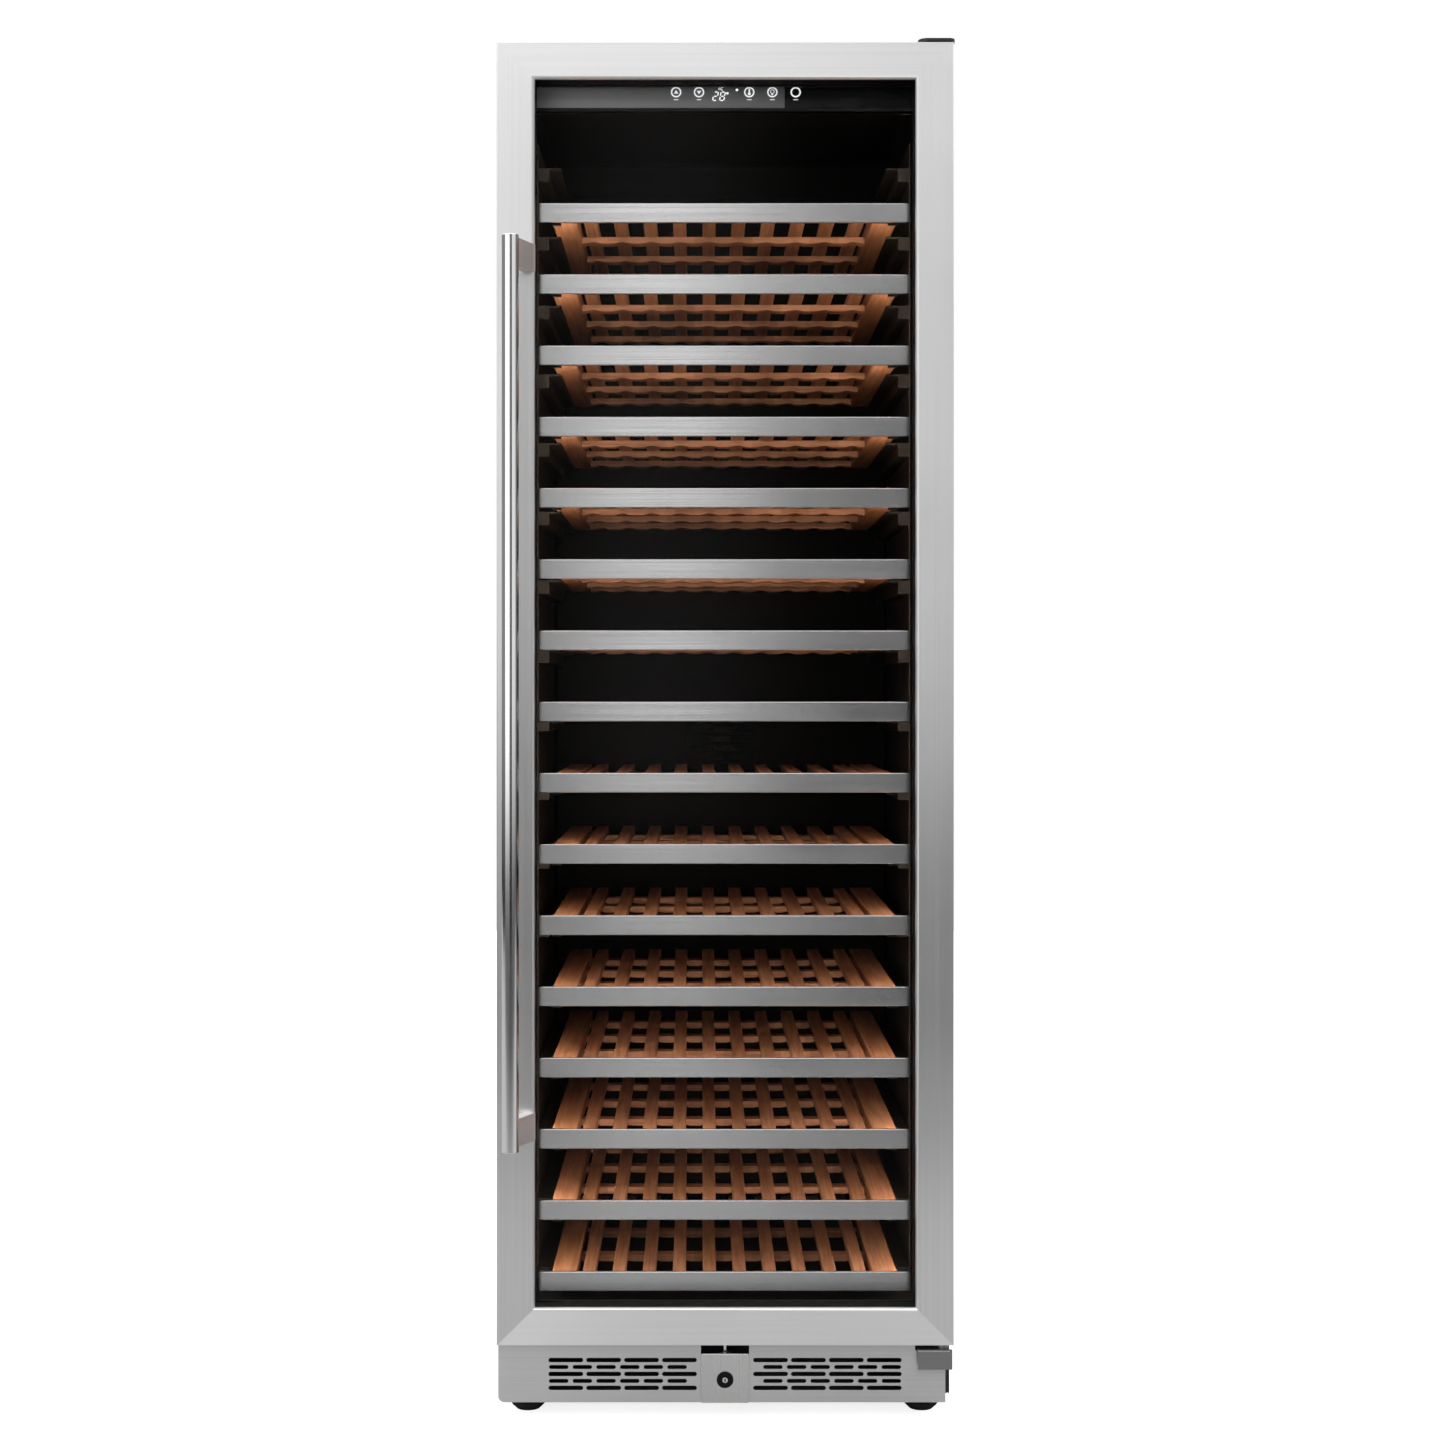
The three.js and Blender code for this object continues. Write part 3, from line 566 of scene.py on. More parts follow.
class WINECOOLER_OT_finishes(Operator):
    """Makes the steel, wood, plastic, rubber and glass that the pieces are finished in"""
    bl_idname = "winecooler.finishes"
    bl_label = "Finishes"

    def execute(self, context):
        make_finishes(context.scene.wine_cooler)
        return {"FINISHED"}


# ---------------------------------------------------------------- door

class WINECOOLER_OT_door_frame(Operator):
    """Builds the folded steel frame of the door and the moulded core behind it"""
    bl_idname = "winecooler.door_frame"
    bl_label = "Door frame"

    def execute(self, context):
        outer, inner = (DOOR_HIGH.x, DOOR_LOW.z, DOOR_HIGH.z), WINDOW
        back, lip = DOOR_HIGH.y, 6.0
        bm = bmesh.new()
        skin = ([(0, back), (0, 1.0), (0.3, 0.3), (1.0, 0), (45.1, 0)]
                + [(45.1 + 4.4 * math.sin(t), 4.4 - 4.4 * math.cos(t)) for t in (0.4, 0.8, 1.2, math.pi / 2)]
                + [(49.5, lip), (47.7, lip)]
                + [(45.1 + 2.4 * math.sin(t), 4.4 - 2.4 * math.cos(t)) for t in (math.pi / 2, 0.8)]
                + [(45.1, 2), (2, 2), (2, back)])
        ring(bm, outer, inner, skin, 0, 1)
        holes = [(HINGE_X, HINGE_DEPTH, 90, 114, PIN_HOLE), (HINGE_X, HINGE_DEPTH, 1782, 1803, PIN_HOLE),
                 (0, BOLT_DEPTH, 90, 116, BOLT_HOLE)]
        steels = ["stile_steel", "rail_steel"]
        bore(bm, holes, steels)
        finish_piece("door_frame_skin", bm, "door", steels, "brushed_stainless", "door_frame")
        bm = bmesh.new()
        core = [(2.3, lip + 0.3), (2.3, 44.2), (3.1, 45), (12.5, 45), (12.5, 43.5), (15, 43.5), (15, 45),
                (30, 45), (30, 43.5), (32.5, 43.5), (32.5, 45), (47.5, 45), (49, 44.4), (49.5, 43), (49.5, 40),
                (39.5, 40), (39.5, lip + 0.3)]
        ring(bm, outer, inner, core)
        bore(bm, holes, ["black_plastic"])
        finish_piece("door_core_moulding", bm, "door", ["black_plastic"], "black_plastic", "door_core")
        return {"FINISHED"}


class WINECOOLER_OT_door_glass(Operator):
    """Builds the door's two panes, the spacer between them and the gasket round the door"""
    bl_idname = "winecooler.door_glass"
    bl_label = "Glass and gasket"

    def execute(self, context):
        for node, name, finish in (("door_glass_outer", "glass_front", "glass"),
                                   ("door_glass_inner", "glass_rear", "glass_rear")):
            bm = bmesh.new()
            low, high = extent(node)
            block(bm, low, high, 0.5, 1)
            finish_piece(name, bm, "door", [finish], "clear_glass", node)
        bm = bmesh.new()
        front, back = PANE_HIGH.y + 0.1, extent("door_glass_inner")[0].y - 0.1
        outer = (PANE_HIGH.x, PANE_LOW.z, PANE_HIGH.z)
        inner = (WINDOW[0] + 1, WINDOW[1] - 1, WINDOW[2] + 1)
        width = outer[0] - inner[0]
        ring(bm, outer, inner, [(0, front), (width - 1, front), (width, front + 2), (width, back - 2),
                                (width - 1, back), (0, back)])
        finish_piece("glass_spacer", bm, "door", ["liner_plastic"], "black_plastic")
        bm = bmesh.new()
        low, high = extent("door_gasket")
        fold = [(0, 0), (0, 1.8), (1.6, 2.4), (1.6, 3.6), (0, 4.4), (0, 8.2), (1.4, 9.9), (20.6, 9.9), (22, 8.2),
                (22, 4.4), (20.4, 3.6), (20.4, 2.4), (22, 1.8), (22, 0)]
        ring(bm, (high.x, low.z, high.z), (high.x - 22, low.z + 22, high.z - 22),
             [(inset, low.y + depth) for inset, depth in fold])
        finish_piece("door_gasket_bellows", bm, "door", ["gasket"], "gasket_rubber", "door_gasket")
        return {"FINISHED"}


class WINECOOLER_OT_handle(Operator):
    """Builds the long bar handle and the two slanting arms that hold it"""
    bl_idname = "winecooler.handle"
    bl_label = "Handle"

    def execute(self, context):
        low, high = extent("handle_bar")
        x, depth, radius = (low.x + high.x) / 2, (low.y + high.y) / 2, (high.x - low.x) / 2
        bm = bmesh.new()
        turned(bm, [(0, low.z), (radius - 1.4, low.z), (radius - 0.4, low.z + 0.4), (radius, low.z + 1.4),
                    (radius, high.z - 1.4), (radius - 0.4, high.z - 0.4), (radius - 1.4, high.z), (0, high.z)],
               (x, depth, 0), (0, 0, 1), 64)
        finish_piece("handle_tube", bm, "door", ["handle_steel"], "bright_steel", "handle_bar")
        saddle = arc((x, depth), radius + 0.05, 92, -8, 10)
        arm = saddle + [(-249, -3.3), (-247, -0.3), (-263, -0.3), (-266, -3.3)]
        for place in ("top", "bottom"):
            node = f"handle_bracket_{place}"
            low, high = extent(node)
            bm = bmesh.new()
            prism(bm, arm, (low.z, high.z), "z", 0.5)
            finish_piece(f"handle_arm_{place}", bm, "door", ["arm_steel"], "bright_steel", node)
        return {"FINISHED"}


class WINECOOLER_OT_hinges(Operator):
    """Builds the black plate hinge on top and the folded steel hinge below the door"""
    bl_idname = "winecooler.hinges"
    bl_label = "Hinges"

    def execute(self, context):
        pin_x, pin_depth, pin = HINGE_X, HINGE_DEPTH, PIN_RADIUS
        low, high = extent("top_hinge")
        top = high.z - 0.6
        bm = bmesh.new()
        plan = ([(299.5, 130), (252, 130)] + arc((264, 12), 12, 180, 270, 6) + arc((292, 7.5), 7.5, 270, 360, 5))
        prism(bm, plan, (CASING_HIGH.z + 0.3, top), "z", 0.7)
        turned(bm, [(0, low.z), (pin - 0.6, low.z), (pin, low.z + 0.6), (pin, top - 2), (0, top - 2)],
               (pin_x, pin_depth, 0), (0, 0, 1), 20)
        turned(bm, [(0, top - 1), (6.5, top - 1), (6.5, top + 0.2), (5.8, top + 0.6), (0, top + 0.6)],
               (pin_x, pin_depth, 0), (0, 0, 1), 24, 1)
        for x, depth in ((264, 76), (288, 76), (264, 116), (288, 116)):
            turned(bm, [(0, top - 0.9), (2.2, top - 0.9), (2.4, top + 0.3), (4.6, top + 0.2), (5.4, top - 1)],
                   (x, depth, 0), (0, 0, 1), 18, 1)
        finish_piece("top_hinge_plate", bm, "cabinet", ["hinge_black", "zinc"],
                     "black_painted_steel", "top_hinge")
        low, high = extent("bottom_hinge")
        bm = bmesh.new()
        leaf_low, leaf_top = 91.2, 94.7
        prism(bm, [(3, low.z), (6.5, low.z), (6.5, leaf_low), (high.y, leaf_low), (high.y, leaf_top),
                   (5, leaf_top), (3, leaf_top - 2)], (low.x, 292.9), "x", 0.35)
        block(bm, (292.6, 3, low.z), (high.x, 6.5, leaf_top), 0.35)
        turned(bm, [(8, leaf_top), (8, 100.6), (7.5, 101.1), (pin, 101.1), (pin, high.z - 0.6),
                    (pin - 0.6, high.z), (0, high.z)], (pin_x, pin_depth, 0), (0, 0, 1), 24)
        for x in (259, 281):
            screw(bm, x, 66, leaf_low, (0, 0, -1), 4)
        finish_piece("bottom_hinge_bracket", bm, "cabinet", ["bracket_steel"], "brushed_stainless",
                     "bottom_hinge")
        return {"FINISHED"}


# ---------------------------------------------------------------- cabinet

class WINECOOLER_OT_casing(Operator):
    """Builds the black steel wrap, its back sheet with vents and its lid"""
    bl_idname = "winecooler.casing"
    bl_label = "Casing"

    def execute(self, context):
        x, front, back = CASING_HIGH.x, CASING_LOW.y, CASING_HIGH.y
        bottom, top = CASING_LOW.z, CASING_HIGH.z
        bm = bmesh.new()
        fold, sheet = 14, 1.0
        wrap = [(-x, front), (-x, back), (-x + fold, back), (-x + fold, back - sheet), (-x + sheet, back - sheet),
                (-x + sheet, front + sheet)]
        for side in (1, -1):
            prism(bm, [(side * u, v) for u, v in wrap], (bottom, top - 0.2), "z", 0.45)
        prism(bm, [(front, top - 1.4), (front, top - sheet), (front + 0.6, top), (back - 0.6, top), (back, top - 0.8),
                   (back, top - fold), (back - sheet, top - fold), (back - sheet, top - 1.4)],
              (-x + 0.4, x - 0.4), "x", 0.2)
        ring(bm, (x - sheet, 112, top - 1.2), (LINER_HIGH.x - 2, LINER_LOW.z + 2, LINER_HIGH.z - 2),
             [(0, front), (39, front), (39, front + sheet), (0, front + sheet)])
        finish_piece("casing_wrap", bm, "cabinet", ["painted_black"], "black_painted_steel", "outer_casing")

        bm = bmesh.new()
        half, face = x - 6, back - 2.4
        vents = []
        for row in range(9):
            for column in range(-3, 4):
                if abs(column) > 0:
                    vents.append(arc((column * 62 + 20, 74 + row * 13), 2.6, 90, -90, 4)
                                 + arc((column * 62 - 20, 74 + row * 13), 2.6, -90, -270, 4))
        plate(bm, [rounded(-half, half, bottom + 6, 212, 2)] + vents, face - 1, face)
        plate(bm, [rounded(-half, half, 214, top - 5, 2)], face - 1, face)
        for z0, z1 in ((290, 960), (1010, 1690)):
            frame_out, frame_in = rounded(-225, 225, z0, z1, 26), rounded(-213, 213, z0 + 12, z1 - 12, 18)
            plate(bm, [frame_out, frame_in[::-1]], face - 0.3, face + 1.3, 0.6)
        for z in (32, 205, 224, 640, 985, 1400, top - 16):
            for side in (-1, 1):
                screw(bm, side * (half - 9), face, z, (0, 1, 0), 3.6, 1)
        finish_piece("casing_back_sheet", bm, "cabinet", ["painted_black", "zinc"],
                     "black_painted_steel")
        return {"FINISHED"}


class WINECOOLER_OT_liner(Operator):
    """Builds the moulded tub of the cold room and the strips at its front corners"""
    bl_idname = "winecooler.liner"
    bl_label = "Liner"

    def execute(self, context):
        low, high = LINER_LOW, LINER_HIGH
        bm = bmesh.new()
        verts = bmesh.ops.create_cube(bm, size=1)["verts"]
        placed = Matrix.Translation((low + high) / 2) @ Matrix.Diagonal((*(high - low), 1))
        bmesh.ops.transform(bm, matrix=placed, verts=verts)
        mouth = min(bm.faces, key=lambda face: face.calc_center_median().y)
        bmesh.ops.inset_region(bm, faces=[mouth], thickness=2, depth=0, use_even_offset=True)
        pushed = bmesh.ops.extrude_discrete_faces(bm, faces=[mouth])["faces"]
        bmesh.ops.translate(bm, vec=(0, high.y - low.y - 2, 0), verts=list(pushed[0].verts))
        corners = [edge for edge in bm.edges if abs(edge.verts[0].co.x) < high.x - 1
                   and abs(edge.verts[1].co.x) < high.x - 1 and edge.calc_length() > 300
                   and low.z + 1 < edge.verts[0].co.z < high.z - 1 and low.z + 1 < edge.verts[1].co.z < high.z - 1
                   and max(vert.co.y for vert in edge.verts) > low.y + 10]
        soften(bm, corners, 9, 4)
        finish_piece("liner_tub", bm, "cabinet", ["liner_plastic"], "black_plastic", "inner_liner")
        bm = bmesh.new()
        for side in (-1, 1):
            inside, wall = sorted((side * 251.5, side * 257.3))
            block(bm, (inside, 57.2, LINER_LOW.z + 4), (wall, 66, LINER_HIGH.z - 50), 1.2, 3)
        finish_piece("liner_corner_strips", bm, "cabinet", ["runner_plastic"], "runner_plastic")
        return {"FINISHED"}


class WINECOOLER_OT_air_panel(Operator):
    """Builds the panel on the back wall, with its round grille, and the fan behind it"""
    bl_idname = "winecooler.air_panel"
    bl_label = "Air panel and fan"

    def execute(self, context):
        low, high = extent("air_panel")
        fan_low, fan_high = extent("evaporator_fan")
        x, z = (fan_low.x + fan_high.x) / 2, (fan_low.z + fan_high.z) / 2
        bm = bmesh.new()
        radius, pitch, gap = 52, 14, 7
        holes = []
        for row in range(-3, 4):
            reach = math.sqrt(radius ** 2 - (row * pitch) ** 2) - gap / 2
            level = z + row * pitch
            holes.append(arc((x + reach, level), gap / 2, 90, -90, 4) + arc((x - reach, level), gap / 2, -90, -270, 4))
        holes.append(arc((x + 16, z + 104), 3, 90, -90, 4) + arc((x - 16, z + 104), 3, -90, -270, 4))
        plate(bm, [rounded(low.x, high.x, low.z, high.z, 6)] + holes, low.y, low.y + 2, 0.5)
        for side in (-1, 1):
            edge, inner = sorted((side * high.x, side * (high.x - 2)))
            block(bm, (edge, low.y + 1.5, low.z + 6), (inner, high.y, high.z - 6))
        plate(bm, [arc((x, z), 60, 0, 360, 48)[:-1], arc((x, z), 55, 360, 0, 48)[:-1]], low.y - 2, low.y + 0.3, 0.8)
        plate(bm, [rounded(x - 150, x + 150, low.z + 60, low.z + 66, 2.9)], low.y - 1, low.y + 0.3, 0.4)
        for side in (-1, 1):
            for level in (low.z + 30, z + 250, high.z - 30):
                screw(bm, side * 226, low.y, level, (0, -1, 0), 4, 1)
        finish_piece("air_panel_grille", bm, "cabinet", ["liner_plastic", "black_plastic"],
                     "black_plastic", "air_panel")
        build_fan("evaporator_fan", "evaporator_blades", "evaporator_fan")
        build_fan("condenser_fan", "condenser_blades", "condenser_fan")
        return {"FINISHED"}


def build_fan(node, name, body):
    """Builds a fan of seven curved blades round a domed hub."""
    low, high = extent(node)
    middle = (low + high) / 2
    radius, hub = (high.z - low.z) / 2, 13 if "condenser" in node else 16
    bm = bmesh.new()
    turned(bm, [(0, low.y + 0.5), (hub * 0.7, low.y + 1), (hub - 1, low.y + 3), (hub, low.y + 5), (hub, high.y - 1),
                (hub - 1, high.y), (0, high.y)], (middle.x, 0, middle.z), (0, 1, 0), 28)
    for count in range(7):
        start = len(bm.verts)
        sheet = bmesh.ops.create_grid(bm, x_segments=6, y_segments=4, size=0.5)["verts"]
        width, length = hub * 1.1, radius - hub * 0.95
        for vert in sheet:
            across, along = vert.co.x, vert.co.y + 0.5
            swing = 0.6 + 0.25 * (1 - along)
            chord = width * (0.95 + 0.5 * along)
            vert.co = Vector((hub * 0.9 + length * along, -math.sin(swing) * across * chord * 0.8 + across ** 2 * 3,
                              math.cos(swing) * across * chord))
            overshoot = max(1, math.hypot(vert.co.x, vert.co.z) / (radius - 0.3))
            vert.co.x /= overshoot
            vert.co.z /= overshoot
        bmesh.ops.solidify(bm, geom=faces_of(sheet), thickness=1.4)
        turn = Matrix.Rotation(count * 2 * math.pi / 7, 4, "Y")
        bm.verts.ensure_lookup_table()
        bmesh.ops.transform(bm, matrix=Matrix.Translation(middle) @ turn, verts=bm.verts[start:])
    finish_piece(name, bm, body, ["black_plastic"], "black_plastic", node)


class WINECOOLER_OT_supports(Operator):
    """Builds the moulded supports on both walls, with a ledge for each shelf"""
    bl_idname = "winecooler.supports"
    bl_label = "Shelf supports"

    def execute(self, context):
        for side, place in ((-1, "left"), (1, "right")):
            node = f"shelf_rail_{place}"
            low, high = extent(node)
            bm = bmesh.new()
            wall, inside = sorted((side * 257.2, side * 254.9))
            block(bm, (wall, low.y, low.z), (inside, high.y, high.z), 0.6)
            for shelf in range(-1, SHELF_COUNT):
                top = shelf_top(0) - shelf * (shelf_top(0) - shelf_top(1))
                outline = [(side * 256, top - 41), (side * 241.5, top - 41), (side * 240, top - 39.5),
                           (side * 240, top - 25.4), (side * 224, top - 25), (side * 224, top - 22.4),
                           (side * 256, top - 22.3)]
                prism(bm, outline, (low.y, high.y), "depth", 0.5)
            finish_piece(f"supports_{place}", bm, "cabinet", ["runner_plastic"], "runner_plastic", node)
        return {"FINISHED"}


def shelf_top(shelf):
    """Height of a shelf's top, counted from the topmost."""
    return extent(f"shelf_{shelf + 1:02d}_trim")[1].z


class WINECOOLER_OT_control_panel(Operator):
    """Builds the control panel's housing, its glossy face and the lit symbols"""
    bl_idname = "winecooler.control_panel"
    bl_label = "Control panel"

    def execute(self, context):
        low, high = extent("control_panel")
        bm = bmesh.new()
        block(bm, (low.x, low.y + 1.2, low.z), (high.x, high.y, high.z), 1.2, 3)
        prism(bm, [(low.y + 0.3, low.z), (high.y - 2, low.z), (high.y - 2, low.z + 1.6), (low.y + 0.3, low.z + 3.6)],
              (low.x + 1, high.x - 1), "x", 0.5)
        finish_piece("panel_housing", bm, "cabinet", ["black_plastic"], "black_plastic", "control_panel")
        face = low.y + 0.45
        bm = bmesh.new()
        plate(bm, [rounded(low.x + 5, high.x - 5, low.z + 4.2, high.z - 2, 1.2)], face, face + 1.4, 0.25)
        finish_piece("panel_face", bm, "cabinet", ["panel_face"], "gloss_black")

        shown, level = face - 0.12, SYMBOL_LEVEL
        bm = bmesh.new()

        def mark(outlines, index=0):
            plate(bm, outlines, shown, face + 0.1, 0.03, index)

        def circle(x, z, radius, sides=28, back=False):
            points = arc((x, z), radius, 0, 360, sides)[:-1]
            return points[::-1] if back else points

        up, down, bars, lamp, power = -64.4, -34.0, 32.6, 63.2, 94.1
        for x in (up, down, bars, lamp):
            mark([circle(x, level, 6.95), circle(x, level, 5.1, back=True)])
        mark([circle(power, level, 6.95), circle(power, level, 4.9, back=True)])
        mark([[(up - 3.0, level - 1.9), (up + 3.0, level - 1.9), (up, level + 3.0)]])
        mark([[(down - 3.0, level + 1.9), (down, level - 3.0), (down + 3.0, level + 1.9)]])
        mark([rounded(bars - 1.0, bars + 1.0, level - 0.7, level + 4.4, 0.9, 3)])
        mark([circle(bars, level - 2.2, 2.0, 16)])
        mark([circle(lamp, level + 0.8, 2.9, 20), circle(lamp, level + 0.8, 2.0, 20, back=True)])
        mark([rounded(lamp - 1.3, lamp + 1.3, level - 3.8, level - 2.3, 0.4, 2)])
        for x in (up, down, bars, lamp, power):
            mark([rounded(x - 3.2, x + 3.2, level - 10.4, level - 9.5, 0.4, 2)])
        mark([circle(16.2, level + 3.0, 1.7, 16)], 1)
        for text, x, z, height in (("12", -10.8, level + 6.4, 7.4), ("28", -15.0, level - 5.4, 11.2)):
            self.number(mark, text, x, z, height)
        finish_piece("panel_symbols", bm, "cabinet", ["symbols", "digits"], "gloss_black")
        return {"FINISHED"}

    def number(self, mark, text, left, middle, height):
        """Draws a number in slanted seven-part digits, with a round dot for the degree sign after it."""
        lit_parts = {"1": "bc", "2": "abged", "8": "abcdefg"}
        width, bar, slant = height * 0.5, height * 0.13, 0.18

        def leaned(points):
            return [(x + (z - middle) * slant, z) for x, z in points]

        def part(letter, x):
            half, w = height / 2, width
            level, upright = {
                "a": (half, None), "g": (0, None), "d": (-half, None),
                "b": (1, w), "c": (-1, w), "f": (1, 0), "e": (-1, 0)}[letter]
            if upright is None:
                return [(x + bar * 0.7, middle + level), (x + bar, middle + level + bar / 2),
                        (x + w - bar, middle + level + bar / 2), (x + w - bar * 0.7, middle + level),
                        (x + w - bar, middle + level - bar / 2), (x + bar, middle + level - bar / 2)]
            z0, z1 = sorted((middle + level * bar * 0.5, middle + level * (half - bar * 0.2)))
            return [(x + upright - bar / 2, z0), (x + upright + bar / 2, z0), (x + upright + bar / 2, z1),
                    (x + upright - bar / 2, z1)]

        x = left
        for digit in text:
            for letter in lit_parts[digit]:
                mark([leaned(part(letter, x))], 1)
            x += width * 1.65
        spot = (x + (height * 0.35) * slant - width * 0.1, middle + height * 0.35)
        mark([arc(spot, bar * 1.1, 0, 360, 12)[:-1]], 1)


# ---------------------------------------------------------------- shelves

class WINECOOLER_OT_shelves(Operator):
    """Builds the sixteen sliding shelves, each a wooden rack and a steel front"""
    bl_idname = "winecooler.shelves"
    bl_label = "Shelves"

    def execute(self, context):
        edge = context.scene.wine_cooler.slat_edge / MM
        for shelf in range(SHELF_COUNT):
            label = f"shelf_{shelf + 1:02d}"
            self.rack(label, edge)
            self.front(label)
        return {"FINISHED"}

    def rack(self, label, edge):
        low, high = extent(f"{label}_rack")
        inner, count, pitch, width = SIDE_BOARD_X, SLATS, SLAT_PITCH, SLAT_WIDTH
        joint = high.z - SLAT_HEIGHT
        bm = bmesh.new()
        for side in (-1, 1):
            x0, x1 = sorted((side * inner, side * high.x))
            block(bm, (x0, low.y, low.z + 2), (x1, high.y, high.z), edge, 1, 0)
        for slat in range(count):
            left = (slat - (count - 1) / 2) * pitch - width / 2
            block(bm, (left, low.y + 0.4, joint), (left + width, high.y, high.z), edge, 1, 0)
        wave = []
        for step in range(count * 6 + 1):
            x = inner - step * 2 * inner / (count * 6)
            phase = math.cos(2 * math.pi * (x / pitch + 0.5))
            wave.append((x, low.z + 0.1 + 2.4 * max(0, phase) ** 0.6))
        bar = [(-inner, joint + 0.1), (inner, joint + 0.1)] + wave
        block(bm, (-inner - 0.1, low.y + 0.2, low.z + 2.2), (inner + 0.1, low.y + 15.8, high.z - 0.2), 0.6, 1, 1)
        for start in CROSS_BARS:
            prism(bm, bar, (start, start + CROSS_BAR_WIDTH), "depth", 0, 2, 1)
        finish_piece(f"{label}_slats", bm, label, ["wood_along", "wood_across"],
                     "beech_wood", f"{label}_rack")

    def front(self, label):
        low, high = extent(f"{label}_trim")
        sheet, round_off = 1.7, 1.0
        face, back = low.y, low.y + sheet
        bm = bmesh.new()
        channel = ([(high.y, low.z)] + [(face + round_off - round_off * math.sin(t), low.z + round_off
                                         - round_off * math.cos(t)) for t in (0, math.pi / 4, math.pi / 2)]
                   + [(face + round_off - round_off * math.cos(t), high.z - round_off + round_off * math.sin(t))
                      for t in (0, math.pi / 4, math.pi / 2)]
                   + [(high.y, high.z), (high.y, high.z - sheet), (back, high.z - sheet), (back, low.z + sheet),
                      (high.y, low.z + sheet)])
        prism(bm, channel, (low.x, high.x), "x", 0.15, 1)
        for side in (-1, 1):
            block(bm, (side * 223 - 6, face + 4, low.z - 2.6), (side * 223 + 6, face + 12, low.z + 0.4), 0.8, 2, 1)
        finish_piece(f"{label}_front", bm, label, ["trim_steel", "runner_plastic"],
                     "shelf_steel", f"{label}_trim")


# ---------------------------------------------------------------- base

class WINECOOLER_OT_kick_plate(Operator):
    """Builds the slotted kick plate, the lock plate, the lock and its bolt"""
    bl_idname = "winecooler.kick_plate"
    bl_label = "Kick plate and lock"

    def execute(self, context):
        low, high = extent("kick_grille")
        lock_low, lock_high = extent("lock_plate")
        gap, notch_x, notch, corner = lock_high.x, 249, 90.2, 8
        ring_low, ring_high = extent("lock_cylinder")
        lock_z = (ring_low.z + ring_high.z) / 2
        bm = bmesh.new()
        edge = ([(high.x, low.z), (high.x, notch), (notch_x, notch), (notch_x, high.z), (gap, high.z),
                 (gap, lock_z - 20), (-gap, lock_z - 20), (-gap, high.z), (low.x, high.z)]
                + arc((low.x + corner, low.z + corner), corner, 180, 270, 6))
        slots = []
        for row in range(5):
            count, first, pitch, length, height = ((4, 59.6, 49.6, 45.5, 5.7), (6, 62.7, 31, 25.4, 5.2))[row % 2]
            z, reach = 77.3 - row * 9.1, (length - height) / 2
            for side in (-1, 1):
                for column in range(count):
                    x = side * (first + column * pitch)
                    slots.append(arc((x + reach, z), height / 2, 90, -90, 6)
                                 + arc((x - reach, z), height / 2, -90, -270, 6))
        plate(bm, [edge] + slots, low.y, low.y + 2, 0.35)
        block(bm, (low.x, low.y + 1.6, low.z + corner), (low.x + 1.8, high.y, high.z), 0.3)
        block(bm, (high.x - 1.8, low.y + 1.6, low.z), (high.x, high.y, notch), 0.3)
        finish_piece("kick_panel", bm, "cabinet", ["kick_steel"], "brushed_stainless", "kick_grille")

        bm = bmesh.new()
        radius = (ring_high.x - ring_low.x) / 2
        plate(bm, [rounded(lock_low.x, lock_high.x, lock_low.z, lock_high.z, 2.2),
                   arc((0, lock_z), radius + 0.4, 360, 0, 40)[:-1]], lock_low.y, lock_low.y + 2, 0.5)
        for x0, x1 in ((-9, -4.4), (4.4, 9)):
            block(bm, (x0, lock_low.y + 2, 70), (x1, lock_high.y, 84), 0.6, 1, 1)
        block(bm, (-9, lock_high.y - 5.6, 70), (9, lock_high.y, 84), 0.6, 1, 1)
        finish_piece("lock_face", bm, "cabinet", ["hinge_steel", "zinc"], "brushed_stainless",
                     "lock_plate")

        bm = bmesh.new()
        front, core = ring_low.y, 3.6
        turned(bm, [(core + 0.2, front + 3), (core + 0.2, front + 0.8), (core + 0.9, front + 0.2),
                    (radius - 1.6, front), (radius - 0.5, front + 0.4), (radius, front + 1.4), (radius, ring_high.y),
                    (core + 0.2, ring_high.y), (core + 0.2, front + 3)], (0, 0, lock_z), (0, 1, 0), 40)
        key = [(0.7, -2.2), (0.7, 2.2), (-0.7, 2.2), (-0.7, -2.2)]
        plate(bm, [arc((0, lock_z), core, 0, 360, 28)[:-1], [(x, z + lock_z) for x, z in key]],
              front + 0.6, front + 5, 0.3, 1)
        finish_piece("lock_barrel", bm, "lock_cylinder", ["liner_plastic", "bright_steel"],
                     "bright_steel", "lock_cylinder")

        low, high = extent("lock_bolt")
        x, depth, radius = (low.x + high.x) / 2, (low.y + high.y) / 2, (high.x - low.x) / 2
        bm = bmesh.new()
        neck = 2.4
        turned(bm, [(0, low.z), (radius - 0.5, low.z), (radius, low.z + 0.5), (radius, 84.5), (neck + 0.3, 85.2),
                    (neck, 85.6), (neck, high.z - 1.0), (neck - 0.9, high.z), (0, high.z)],
               (x, depth, 0), (0, 0, 1), 24)
        finish_piece("lock_pin", bm, "lock_bolt", ["bright_steel"], "bright_steel", "lock_bolt")
        return {"FINISHED"}


